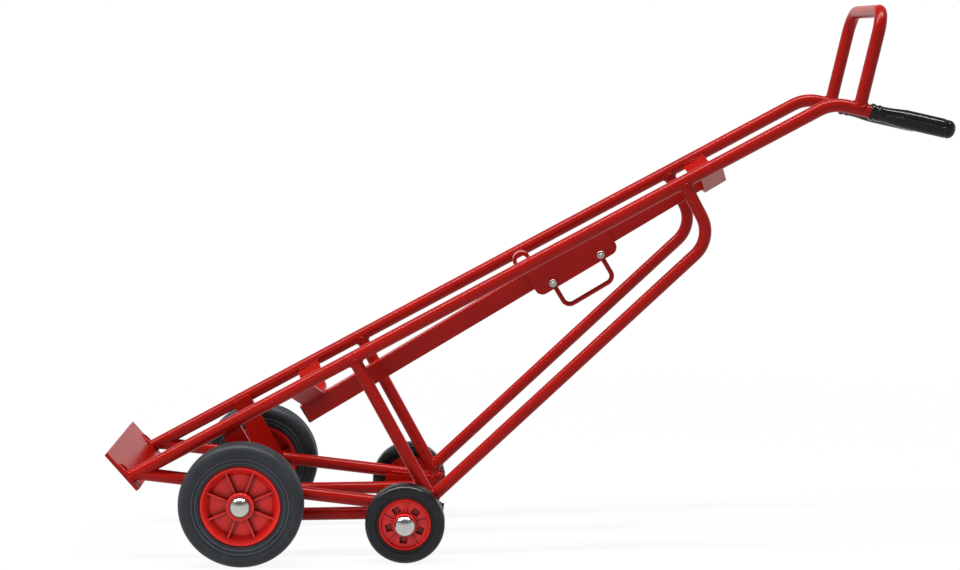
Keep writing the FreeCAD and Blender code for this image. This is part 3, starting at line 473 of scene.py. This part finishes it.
def arc(middle, radius, first, last, steps):
    """Section points on an arc, angles in degrees from the radial direction."""
    points = []
    for step in range(steps + 1):
        angle = math.radians(first + (last - first) * step / steps)
        points.append((middle[0] + radius * math.cos(angle), middle[1] + radius * math.sin(angle)))
    return points


def in_metres(section):
    """Section points in millimetres, turned to metres."""
    return [(radius * MM, height * MM) for radius, height in section]


def mirrored(half):
    """Closed section from the half on one side of a wheel."""
    return half + [(radius, -height) for radius, height in reversed(half)] + [half[0]]


def stand(piece, origin, along, upward):
    """Turn a piece's Z along a direction and its X upward, and set that in its mesh."""
    lift = (upward - along * upward.dot(along)).normalized()
    turn = Matrix((lift, along.cross(lift), along)).transposed()
    piece.matrix_world = Matrix.Translation(origin) @ turn.to_4x4()
    take(piece)
    bpy.ops.object.transform_apply(location=True, rotation=True, scale=True)


def pick_faces(piece, test):
    """Select the faces whose middle and normal pass a test, and open the mesh editor."""
    take(piece)
    bpy.ops.object.mode_set(mode="EDIT")
    bpy.ops.mesh.select_mode(type="FACE")
    bpy.ops.mesh.select_all(action="DESELECT")
    bpy.ops.object.mode_set(mode="OBJECT")
    for face in piece.data.polygons:
        face.select = test(face.center, face.normal)
    bpy.ops.object.mode_set(mode="EDIT")


def ease_edges(piece, width, angle=30.0, segments=2):
    """Round the sharp edges of a piece."""
    take(piece)
    bpy.ops.object.modifier_add(type="BEVEL")
    rounding = piece.modifiers[-1]
    rounding.width = width
    rounding.segments = segments
    rounding.limit_method = "ANGLE"
    rounding.angle_limit = math.radians(angle)
    bpy.ops.object.modifier_apply(modifier=rounding.name)


def smooth(piece, angle=35.0):
    """Smooth shading with sharp edges kept."""
    take(piece)
    bpy.ops.object.shade_smooth_by_angle(angle=math.radians(angle))


def joined(name, pieces):
    """Join pieces into one mesh."""
    nothing_selected()
    for piece in pieces:
        piece.select_set(True)
    bpy.context.view_layer.objects.active = pieces[0]
    bpy.ops.object.join()
    pieces[0].name = name
    pieces[0].data.name = name
    return pieces[0]


def carve(piece, cutter, operation):
    """Cut a piece with another, which is used up."""
    take(piece)
    bpy.ops.object.modifier_add(type="BOOLEAN")
    piece.modifiers[-1].operation = operation
    piece.modifiers[-1].object = cutter
    bpy.ops.object.modifier_apply(modifier=piece.modifiers[-1].name)
    bpy.data.objects.remove(cutter)


def fit(piece, slot, body, *nodes, finish=None):
    """Give a piece its finish and body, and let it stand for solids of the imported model."""
    piece.data.materials.clear()
    piece.data.materials.append(finish_for(finish or slot))
    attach(piece, body)
    if nodes:
        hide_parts(*nodes)


def reach_tube(start, way, line, line_way, radius):
    """Distance along a line to where it leaves a tube."""
    gap = start - line
    gap = gap - line_way * gap.dot(line_way)
    side = way - line_way * way.dot(line_way)
    spread_way = side.dot(side)
    half = gap.dot(side)
    rest = gap.dot(gap) - radius**2
    return (-half + math.sqrt(max(0.0, half**2 - spread_way * rest))) / spread_way


def seam(middle, way, radius, reach):
    """Points round a tube's end, each moved along the tube by its own reach."""
    side = ACROSS.cross(way)
    points = []
    steps = 2 * round(math.pi * radius / bpy.context.scene.trolley_detail.weld_pitch)
    for step in range(2 * steps):
        angle = math.pi * step / steps
        start = middle + (side * math.cos(angle) + ACROSS * math.sin(angle)) * radius
        points.append(start + way * reach(start, way))
    return points


def straight(first, last):
    """Points of a straight weld."""
    pitch = bpy.context.scene.trolley_detail.weld_pitch
    steps = max(4, 2 * round((last - first).length / pitch))
    return [first.lerp(last, step / steps) for step in range(steps + 1)]


def bead(name, points, closed):
    """Rippled weld bead along a line of points."""
    curve = bpy.data.curves.new(name, "CURVE")
    curve.dimensions = "3D"
    curve.bevel_depth = bpy.context.scene.trolley_detail.weld_width / 2
    curve.bevel_resolution = 2
    curve.use_fill_caps = not closed
    line = curve.splines.new("POLY")
    line.points.add(len(points) - 1)
    for number, (knot, point) in enumerate(zip(line.points, points)):
        knot.co = (*point, 1.0)
        knot.radius = WELD_RIPPLE[number % len(WELD_RIPPLE)]
    line.use_cyclic_u = closed
    piece = bpy.data.objects.new(name, curve)
    bpy.context.scene.collection.objects.link(piece)
    take(piece)
    bpy.ops.object.convert(target="MESH")
    return bpy.context.active_object


# Operators
class TROLLEY_OT_finishes(bpy.types.Operator):
    """Give every solid of the trolley its finish"""

    bl_idname = "trolley.finishes"
    bl_label = "Finishes"

    def execute(self, context):
        for entry in frame["record"]["subparts"]:
            piece = NODES[entry["node"]]
            piece.data.materials.clear()
            piece.data.materials.append(finish_for(entry["material_slot"]))
        return {"FINISHED"}


class TROLLEY_OT_tyres(bpy.types.Operator):
    """Solid rubber tyres with ringed side walls and grooved treads"""

    bl_idname = "trolley.tyres"
    bl_label = "Tyres"
    ridges = (88.0, 95.6)
    crest = (0.4, 2.4)

    def execute(self, context):
        deep = context.scene.trolley_detail.tread_depth / MM
        sections = {"front": self.front(deep), "rear": self.rear(deep)}
        for kind, half in sections.items():
            for side in SIDES:
                wheel = f"{kind}_{side}"
                tyre = turned(f"rubber_tyre_{wheel}", in_metres(mirrored(half)), sides=144)
                self.mark_ridges(tyre, kind)
                hub = Vector(JOINTS[f"{wheel}_wheel_spin"]["pos_m"])
                stand(tyre, hub, ACROSS, UP)
                smooth(tyre, angle=28.0)
                rubber = "tyre_rear" if kind == "rear" else "tyre"
                fit(tyre, "tyre", f"wheel_{wheel}", f"tyre_{wheel}", finish=rubber)
        return {"FINISHED"}

    def mark_ridges(self, tyre, kind):
        """Mark the ridges of a front tyre, which get a painted highlight in the rubber's colour."""
        painted_ridge_highlight = tyre.data.attributes.new("painted_ridge_highlight", "FLOAT", "POINT")
        first, last = self.crest
        for point, mark in zip(tyre.data.vertices, painted_ridge_highlight.data):
            radius = point.co.xy.length / MM
            on_ridge = any(start + first < radius < start + last for start in self.ridges)
            mark.value = 1.0 if kind == "front" and on_ridge else 0.0

    def front(self, deep):
        """Half section of a front tyre, radius and height in millimetres."""
        wall = [(82.0, 0.5), (82.0, 22.6), (82.5, 23.5), (84.0, 23.9), (86.8, 24.0)]
        for start, level in zip(self.ridges, (24.1, 25.0)):
            wall += [(start, level + 0.2), (start + 0.5, level + 1.2), (start + 1.0, level + 1.5)]
            wall += [(start + 1.8, level + 1.5), (start + 2.3, level + 1.2), (start + 2.8, level + 0.2)]
            wall += [(start + 4.6, level + 0.3), (start + 6.4, level + 0.6)]
        wall += [(104.4, 26.6), (106.5, 27.5), (109.0, 27.95)]
        wall += arc((112.0, 15.0), 13.0, 90.0, 0.0, 12)
        return wall + self.grooves(125.0, (10.0, 3.4), deep)

    def rear(self, deep):
        """Half section of a rear tyre, radius and height in millimetres."""
        wall = [(53.5, 0.5), (53.5, 16.8), (54.0, 17.6), (57.4, 18.2), (58.4, 19.4), (59.2, 20.4)]
        wall += [(61.0, 21.0), (64.5, 21.7), (67.0, 22.0)]
        wall += arc((69.0, 11.0), 11.0, 90.0, 58.0, 4)
        wall += arc((68.6, 10.7), 11.0, 55.0, 33.0, 3)
        wall += arc((69.0, 11.0), 11.0, 30.0, 0.0, 4)
        return wall + self.grooves(80.0, (8.4, 2.8), deep)

    def grooves(self, outer, places, deep):
        """Tread points with a groove at each place, in millimetres."""
        half_mouth = 1.4
        half_bed = 0.9
        tread = []
        for place in places:
            tread += [(outer, place + half_mouth), (outer - deep, place + half_bed)]
            tread += [(outer - deep, place - half_bed), (outer, place - half_mouth)]
        return tread


class TROLLEY_OT_grips(bpy.types.Operator):
    """Moulded grips with ridged collars, recessed necks and a raised palm pad"""

    bl_idname = "trolley.grips"
    bl_label = "Grips"
    pad_start = 67.0 * MM
    pad_end = 151.5 * MM
    pad_edge = 7.95 * MM
    band_edge = 1.8 * MM
    panel_size = Vector((7.0, 8.0, 46.0)) * MM
    panel_place = Vector((2.6, 19.7, 43.0)) * MM
    panel_tip = math.radians(8.5)
    panel_lean = math.radians(3.0)

    def execute(self, context):
        depth = context.scene.trolley_detail.panel_depth
        for side, sign in SIDES.items():
            grip = turned(f"moulded_grip_{side}", in_metres(self.section()), sides=72)
            for face in SIDES.values():
                carve(grip, self.panel(face, depth), "DIFFERENCE")
            self.press(grip, self.on_band, slope=1.3 * MM, depth=-1.3 * MM)
            self.press(grip, self.on_pad, slope=0.9 * MM, depth=0.8 * MM)
            ease_edges(grip, 0.6 * MM, angle=24.0, segments=3)
            stand(grip, GRIP_START + ACROSS * sign * RAIL_SIDE, HANDLE, POST)
            smooth(grip, angle=40.0)
            fit(grip, "grip_black", FRAME, f"grip_{side}")
        return {"FINISHED"}

    def section(self):
        """Section of a grip from its collar to its round end, in millimetres."""
        points = [(13.55, 0.4), (14.9, 0.0), (16.0, 0.3), (16.8, 1.2), (17.1, 2.6), (17.1, 5.6)]
        points += [(16.8, 7.2), (16.0, 8.2), (15.4, 8.8), (15.4, 14.6), (16.1, 15.2), (16.7, 16.2)]
        points += [(16.8, 17.4), (16.7, 18.6), (16.1, 19.6), (15.6, 20.2), (15.5, 26.0), (15.6, 32.0)]
        points += [(15.9, 38.0), (16.4, 44.0), (17.1, 50.0), (17.8, 56.0), (18.3, 62.0), (18.6, 68.0)]
        points += [(18.7, 74.0 + 7.0 * step) for step in range(12)]
        points += [(18.7, 156.4), (17.7, 157.0), (17.7, 159.0), (18.6, 159.6)]
        points += arc((4.6, 160.5), 14.0, 0.0, 84.0, 10)
        return points + [(2.4, 174.48), (0.0, 174.5)]

    def panel(self, face, depth):
        """Block that cuts the long recess beside the neck, level when the grip is fitted."""
        nothing_selected()
        bpy.ops.mesh.primitive_cube_add(size=1.0)
        block = bpy.context.active_object
        block.scale = self.panel_size
        take(block)
        bpy.ops.object.transform_apply(scale=True)
        ease_edges(block, 1.4 * MM, segments=4)
        tip = Matrix.Rotation(self.panel_tip, 4, "Y")
        lean = Matrix.Rotation(-self.panel_lean * face, 4, "X")
        middle = Vector((self.panel_place.x, face * (self.panel_place.y - depth), self.panel_place.z))
        block.matrix_world = Matrix.Translation(middle) @ lean @ tip
        take(block)
        bpy.ops.object.transform_apply(location=True, rotation=True)
        return block

    def on_band(self, middle, normal):
        """Faces of the dark bands between palm pad and body."""
        level = self.pad_start < middle.z < self.pad_end
        return level and self.band_edge < middle.x < self.pad_edge

    def on_pad(self, middle, normal):
        """Faces of the pad under the palm."""
        level = self.pad_start < middle.z < self.pad_end
        return level and middle.x > self.pad_edge and normal.x > 0.3

    def press(self, grip, test, slope, depth):
        """Raise or sink the faces that pass a test, with sloping sides."""
        pick_faces(grip, test)
        bpy.ops.mesh.inset(thickness=slope, depth=depth)
        bpy.ops.object.mode_set(mode="OBJECT")


class TROLLEY_OT_hub_caps(bpy.types.Operator):
    """Domed push-on caps on the axle ends"""

    bl_idname = "trolley.hub_caps"
    bl_label = "Hub caps"

    def execute(self, context):
        section = [(10.2, 0.0), (19.2, 0.0), (19.8, 0.25), (20.0, 0.8), (20.0, 3.6), (19.9, 4.1)]
        section += arc((0.0, -10.0), 24.4, 36.2, 88.5, 22) + [(0.0, 14.4)]
        for kind in ("front", "rear"):
            for side, sign in SIDES.items():
                node = f"{kind}_cap_{side}"
                cap = turned(f"domed_cap_{kind}_{side}", in_metres(section), sides=96)
                low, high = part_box(node)
                base = Vector(((low[0] + high[0]) / 2, 0.0, (low[2] + high[2]) / 2))
                inner = low[1] if sign > 0 else high[1]
                stand(cap, base + ACROSS * inner, ACROSS * sign, UP)
                smooth(cap, angle=50.0)
                fit(cap, "cap_steel", FRAME, node)
        return {"FINISHED"}


class TROLLEY_OT_bolts(bpy.types.Operator):
    """Carriage bolts with chamfered heads and nuts, washers and threaded ends"""

    bl_idname = "trolley.bolts"
    bl_label = "Carriage bolts"

    def execute(self, context):
        low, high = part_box("carriage_bolts")
        nut_low, nut_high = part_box("carriage_nuts")
        washer_low, washer_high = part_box("carriage_washers")
        middle = Vector(((low[0] + high[0]) / 2, 0.0, (low[2] + high[2]) / 2))
        pieces = []
        for number, step in enumerate((-BOLT_SPACING / 2, BOLT_SPACING / 2), start=1):
            place = middle + SLIDE * step
            head = self.hexagon(f"bolt_head_{number}", high[1] - washer_high[1])
            stand(head, place + ACROSS * washer_high[1], ACROSS, SLIDE)
            nut = self.hexagon(f"bolt_nut_{number}", nut_high[1] - nut_low[1])
            stand(nut, place + ACROSS * nut_high[1], -ACROSS, SLIDE)
            shank = self.shank(f"bolt_shank_{number}", washer_high[1] - nut_low[1], nut_low[1] - low[1])
            stand(shank, place + ACROSS * washer_high[1], -ACROSS, SLIDE)
            pieces += [head, nut, shank]
            for face, way in ((washer_high[1], -ACROSS), (washer_low[1], ACROSS)):
                washer = self.washer(f"bolt_washer_{number}")
                stand(washer, place + ACROSS * face, way, SLIDE)
                pieces.append(washer)
        bolts = joined("carriage_bolt_sets", pieces)
        smooth(bolts, angle=32.0)
        fit(bolts, "zinc", CARRIAGE, "carriage_bolts", "carriage_nuts", "carriage_washers")
        return {"FINISHED"}

    def hexagon(self, name, height):
        """Hexagon whose outer corners are turned down to a cone."""
        nothing_selected()
        corner = BOLT_FLATS / math.sqrt(3.0)
        bpy.ops.mesh.primitive_cylinder_add(vertices=6, radius=corner, depth=height)
        block = bpy.context.active_object
        block.name = name
        block.data.name = name
        block.location = (0.0, 0.0, height / 2)
        take(block)
        bpy.ops.object.transform_apply(location=True)
        flat = BOLT_FLATS * 0.47
        outer = corner * 1.2
        fall = (outer - flat) * math.tan(math.radians(30.0))
        section = [(outer, -MM), (outer, height - fall), (flat, height), (0.0, height)]
        turning = turned("corner_turning", section, sides=72)
        self.close(turning)
        carve(block, turning, "INTERSECT")
        return block

    def close(self, piece):
        """Close the open ring of a turned piece."""
        take(piece)
        bpy.ops.object.mode_set(mode="EDIT")
        bpy.ops.mesh.select_all(action="DESELECT")
        bpy.ops.mesh.select_non_manifold()
        bpy.ops.mesh.edge_face_add()
        bpy.ops.mesh.select_all(action="SELECT")
        bpy.ops.mesh.normals_make_consistent(inside=False)
        bpy.ops.object.mode_set(mode="OBJECT")

    def shank(self, name, plain, threaded):
        """Shank with a thread past the nut and a chamfered tip."""
        pitch = bpy.context.scene.trolley_detail.thread_pitch
        radius = BOLT_RADIUS - 0.05 * MM
        root = radius - 0.6 * MM
        tip = radius - 0.7 * MM
        end = plain + threaded
        section = [(radius, 0.3 * MM), (radius, plain - 0.2 * MM)]
        place = plain
        while place + pitch < end - 0.4 * MM:
            section += [(radius, place), (root, place + pitch / 2)]
            place += pitch
        section += [(radius, place), (tip, end), (0.0, end)]
        piece = turned(name, section, sides=40)
        self.close(piece)
        return piece

    def washer(self, name):
        """Plain washer with eased edges."""
        thick = WASHER_THICK
        ease = 0.25 * MM
        section = [(BOLT_RADIUS, 0.0), (WASHER_RADIUS - ease, 0.0), (WASHER_RADIUS, ease)]
        section += [(WASHER_RADIUS, thick - ease), (WASHER_RADIUS - ease, thick), (BOLT_RADIUS, thick)]
        return turned(name, section + [section[0]], sides=56)


class TROLLEY_OT_welds(bpy.types.Operator):
    """Weld beads where the tubes and plates of the frame meet"""

    bl_idname = "trolley.welds"
    bl_label = "Weld beads"

    def execute(self, context):
        beads = []
        for side, sign in SIDES.items():
            beads += self.tube_seams(side, ACROSS * sign * RAIL_SIDE)
            beads += self.toe_seams(side, ACROSS * sign * RAIL_SIDE)
            beads += self.plate_seams(side, sign)
            beads += self.saddle_seams(side, sign)
        welds = joined("frame_welds", beads)
        smooth(welds, angle=70.0)
        fit(welds, "red_paint", FRAME)
        hook = joined("hook_welds", self.hook_seams())
        smooth(hook, angle=70.0)
        fit(hook, "red_paint", CARRIAGE)
        return {"FINISHED"}

    def tube_seams(self, side, y):
        """Seams of struts, stays and loop handle on the tubes that carry them."""
        rail = (STRUT_TOP + y, RAIL, RAIL_RADIUS)
        brace = (BRACE_LINE + y, BRACE, BRACE_RADIUS)
        strut = (STRUT_FOOT + y, SQUARE, STRUT_RADIUS)
        handle = (LOOP_FOOT + y, HANDLE, RAIL_RADIUS)
        ends = (
            ("strut_top", STRUT_TOP, -SQUARE, STRUT_RADIUS, (rail,)),
            ("strut_foot", STRUT_FOOT, SQUARE, STRUT_RADIUS, (brace,)),
            ("stay_top", STAY_TOP, -SQUARE, STAY_RADIUS, (rail,)),
            ("stay_foot", STAY_FOOT, STAY, STAY_RADIUS, (strut, brace)),
            ("loop_foot", LOOP_FOOT, POST, STRUT_RADIUS, (handle,)),
        )
        beads = []
        for name, middle, way, radius, tubes in ends:

            def reach(start, along):
                return max(reach_tube(start, along, *tube) for tube in tubes)

            beads.append(bead(f"{name}_{side}", seam(middle + y, way, radius, reach), True))
        return beads

    def toe_seams(self, side, y):
        """Seams of rails and long braces on the toe plate."""

        def reach(start, way):
            return (TOE + y - start).dot(TOE_IN) / way.dot(TOE_IN)

        rail = seam(TOE + y, RAIL, RAIL_RADIUS, reach)
        brace = seam(BRACE_LINE + y, BRACE, BRACE_RADIUS, reach)
        return [bead(f"rail_toe_{side}", rail, True), bead(f"brace_toe_{side}", brace, True)]

    def plate_seams(self, side, sign):
        """Seams of axle plates and gussets on the tubes beside them."""
        lines = []
        for square, out in ((1.0, -0.9), (-6.6, 0.9)):
            place = on_rail(0.0, RAIL_LIFT + square * MM, sign * (PLATE_FACE + out * MM))
            lines.append(self.stretch(place, RAIL, 24.0, 59.0))
        brace = REAR_AXLE + BRACE_UP * (BRACE_LIFT + 0.8 * MM)
        lines.append(self.stretch(brace + ACROSS * sign * (PLATE_FACE - 0.7 * MM), BRACE, -40.0, 54.0))
        tie = REAR_AXLE + UP * TIE_LIFT + ACROSS * sign * TIE_FACE
        lines.append(self.stretch(tie, ALONG, -44.0, 20.0))
        front = tie + ALONG * (FRONT_AXLE.x - REAR_AXLE.x)
        lines.append(self.stretch(front, ALONG, 52.0, 86.0))
        return self.straight_beads(f"plate_{side}", lines)

    def saddle_seams(self, side, sign):
        """Seams of the two saddles along the rails."""
        lines = []
        for along in SADDLE_PLACES:
            for angle in (12.0, 36.0):
                turn = math.radians(angle)
                y = sign * (RAIL_SIDE - RAIL_RADIUS * math.cos(turn))
                place = on_rail(along, RAIL_LIFT - RAIL_RADIUS * math.sin(turn), y)
                lines.append(self.stretch(place, RAIL, -23.0, 23.0))
        return self.straight_beads(f"saddle_{side}", lines)

    def hook_seams(self):
        """Seams round the hook's foot on the carriage."""
        top = CARRIAGE_MIDDLE + SLIDE_UP * 24.9 * MM
        lines = []
        for sign in SIDES.values():
            edge = top + ACROSS * sign * 17.4 * MM
            lines.append(self.stretch(edge, SLIDE, -67.0, -23.0))
        end = top - SLIDE * 21.8 * MM
        lines.append(self.stretch(end, ACROSS, -16.0, 16.0))
        return self.straight_beads("hook", lines)

    def stretch(self, place, way, first, last):
        """Ends of a straight weld, given in millimetres from a place."""
        return place + way * first * MM, place + way * last * MM

    def straight_beads(self, name, lines):
        """Weld beads along straight lines."""
        return [bead(f"{name}_{number}", straight(*line), False) for number, line in enumerate(lines)]


class TROLLEY_OT_stage(bpy.types.Operator):
    """Set up the floor, the soft studio light and the camera"""

    bl_idname = "trolley.stage"
    bl_label = "Stage"
    floor_size = 40.0
    shadow_reach = (0.9, 2.4)
    white_share = (0.92, 1.0)

    def execute(self, context):
        stage = context.scene.trolley_stage
        self.floor()
        self.room(context.scene, stage.ambient)
        overhead = self.lamp("overhead", stage.key_power, length=11.6, width=0.8)
        self.point(overhead, place=(-1.6, -0.7, 7.0), aim=(-1.6, 0.0, 0.4))
        front = self.lamp("front", stage.front_power, length=1.4, width=1.4)
        self.point(front, place=(-2.0, -3.6, 1.3), aim=(-0.3, 0.0, 0.3))
        front.visible_glossy = False
        self.camera(context.scene, stage.lens)
        return {"FINISHED"}

    def floor(self):
        """Plain pale floor, nearly white to the camera but with the trolley's shadow."""
        nothing_selected()
        bpy.ops.mesh.primitive_plane_add(size=self.floor_size, location=(0.0, 0.0, 0.0))
        floor = bpy.context.active_object
        floor.name = "studio_floor"
        material, tree, shader = new_material("studio_floor_paper")
        shader.inputs["Base Color"].default_value = (0.5, 0.5, 0.5, 1.0)
        shader.inputs["Roughness"].default_value = 0.9
        glow = tree.nodes.new("ShaderNodeEmission")
        glow.inputs["Color"].default_value = (1.0, 1.0, 1.0, 1.0)
        mix = tree.nodes.new("ShaderNodeMixShader")
        path = tree.nodes.new("ShaderNodeLightPath")
        share = tree.nodes.new("ShaderNodeMath")
        share.operation = "MULTIPLY"
        tree.links.new(seen_directly(tree, path), share.inputs[0])
        tree.links.new(self.fade(tree), share.inputs[1])
        tree.links.new(share.outputs[0], mix.inputs["Fac"])
        tree.links.new(shader.outputs[0], mix.inputs[1])
        tree.links.new(glow.outputs[0], mix.inputs[2])
        output = next(node for node in tree.nodes if node.type == "OUTPUT_MATERIAL")
        tree.links.new(mix.outputs[0], output.inputs["Surface"])
        floor.data.materials.append(material)

    def fade(self, tree):
        """Share of plain white: less near the trolley, where its shadow falls, and all far away."""
        far = tree.nodes.new("ShaderNodeVectorMath")
        far.operation = "LENGTH"
        tree.links.new(object_coordinates(tree), far.inputs[0])
        level = tree.nodes.new("ShaderNodeMapRange")
        level.inputs["From Min"].default_value = self.shadow_reach[0]
        level.inputs["From Max"].default_value = self.shadow_reach[1]
        level.inputs["To Min"].default_value = self.white_share[0]
        level.inputs["To Max"].default_value = self.white_share[1]
        tree.links.new(far.outputs["Value"], level.inputs["Value"])
        return level.outputs["Result"]

    def room(self, scene, ambient):
        """Even room light, white where the camera or a shiny surface sees it."""
        world = bpy.data.worlds.new("studio_room")
        scene.world = world
        # So even a room needs no sampling of its own
        world.cycles.sampling_method = "NONE"
        world.use_nodes = True
        tree = world.node_tree
        tree.nodes.clear()
        path = tree.nodes.new("ShaderNodeLightPath")
        level = spread(tree, seen_directly(tree, path), ambient, 1.0)
        back = tree.nodes.new("ShaderNodeBackground")
        tree.links.new(self.ceiling(tree), back.inputs["Color"])
        tree.links.new(level, back.inputs["Strength"])
        output = tree.nodes.new("ShaderNodeOutputWorld")
        tree.links.new(back.outputs[0], output.inputs["Surface"])

    def ceiling(self, tree):
        """White walls that fall off to a dim ceiling."""
        way = tree.nodes.new("ShaderNodeTexCoord").outputs["Generated"]
        split = tree.nodes.new("ShaderNodeSeparateXYZ")
        tree.links.new(way, split.inputs[0])
        return ramp(tree, split.outputs["Z"], 0.2, 0.6, (1.0, 1.0, 1.0), (0.16, 0.16, 0.17))

    def lamp(self, name, power, length, width):
        """Soft light with a long or square face."""
        data = bpy.data.lights.new(name, "AREA")
        data.shape = "RECTANGLE"
        data.size = length
        data.size_y = width
        data.energy = power
        lamp = bpy.data.objects.new(name, data)
        bpy.context.scene.collection.objects.link(lamp)
        return lamp

    def point(self, lamp, place, aim):
        """Hang a light at a place and turn it towards an aim."""
        lamp.location = place
        lamp.rotation_euler = (Vector(aim) - Vector(place)).to_track_quat("-Z", "Y").to_euler()

    def camera(self, scene, lens):
        """Camera at the side of the trolley, a little above the loop handle's lower end."""
        data = bpy.data.cameras.new("side_view")
        data.lens = lens
        data.sensor_width = 36.0
        data.sensor_fit = "HORIZONTAL"
        camera = bpy.data.objects.new("side_view", data)
        scene.collection.objects.link(camera)
        turn = Matrix.Rotation(math.radians(0.765), 3, "Z")
        tilt = Matrix.Rotation(math.radians(6.948), 3, "X")
        roll = Matrix.Rotation(math.radians(-0.738), 3, "Z")
        base = Matrix(((1, 0, 0), (0, 0, -1), (0, 1, 0)))
        rows = roll @ tilt @ base @ turn
        right, down, ahead = rows
        basis = Matrix((right, -down, -ahead)).transposed()
        place = FRONT_AXLE * Vector((1.0, 0.0, 0.0)) + Vector((0.42985, -4.1957, 1.04443))
        camera.matrix_world = Matrix.Translation(place) @ basis.to_4x4()
        scene.camera = camera
        scene.view_settings.view_transform = "Standard"


class TROLLEY_PT_panel(bpy.types.Panel):
    """Trolley looks"""

    bl_idname = "TROLLEY_PT_panel"
    bl_label = "Drum trolley"
    bl_space_type = "VIEW_3D"
    bl_region_type = "UI"
    bl_category = "Trolley"

    def draw(self, context):
        column = self.layout.column()
        for operator in OPERATORS:
            column.operator(operator.bl_idname)
        scene = context.scene
        for group in (scene.trolley_paint, scene.trolley_detail, scene.trolley_stage):
            for name in group.__annotations__:
                column.prop(group, name)


OPERATORS = (
    TROLLEY_OT_finishes,
    TROLLEY_OT_tyres,
    TROLLEY_OT_grips,
    TROLLEY_OT_hub_caps,
    TROLLEY_OT_bolts,
    TROLLEY_OT_welds,
    TROLLEY_OT_stage,
)
CLASSES = (TrolleyPaint, TrolleyDetail, TrolleyStage, *OPERATORS, TROLLEY_PT_panel)


def register():
    """Add the classes and the scene's settings."""
    for item in CLASSES:
        bpy.utils.register_class(item)
    bpy.types.Scene.trolley_paint = bpy.props.PointerProperty(type=TrolleyPaint)
    bpy.types.Scene.trolley_detail = bpy.props.PointerProperty(type=TrolleyDetail)
    bpy.types.Scene.trolley_stage = bpy.props.PointerProperty(type=TrolleyStage)


def unregister():
    """Take the classes and the settings away again."""
    del bpy.types.Scene.trolley_stage
    del bpy.types.Scene.trolley_detail
    del bpy.types.Scene.trolley_paint
    for item in reversed(CLASSES):
        bpy.utils.unregister_class(item)


def main():
    """Dress the trolley and set the stage."""
    register()
    bpy.ops.trolley.finishes()
    bpy.ops.trolley.tyres()
    bpy.ops.trolley.grips()
    bpy.ops.trolley.hub_caps()
    bpy.ops.trolley.bolts()
    bpy.ops.trolley.welds()
    bpy.ops.trolley.stage()


if __name__ == "__main__":
    main()
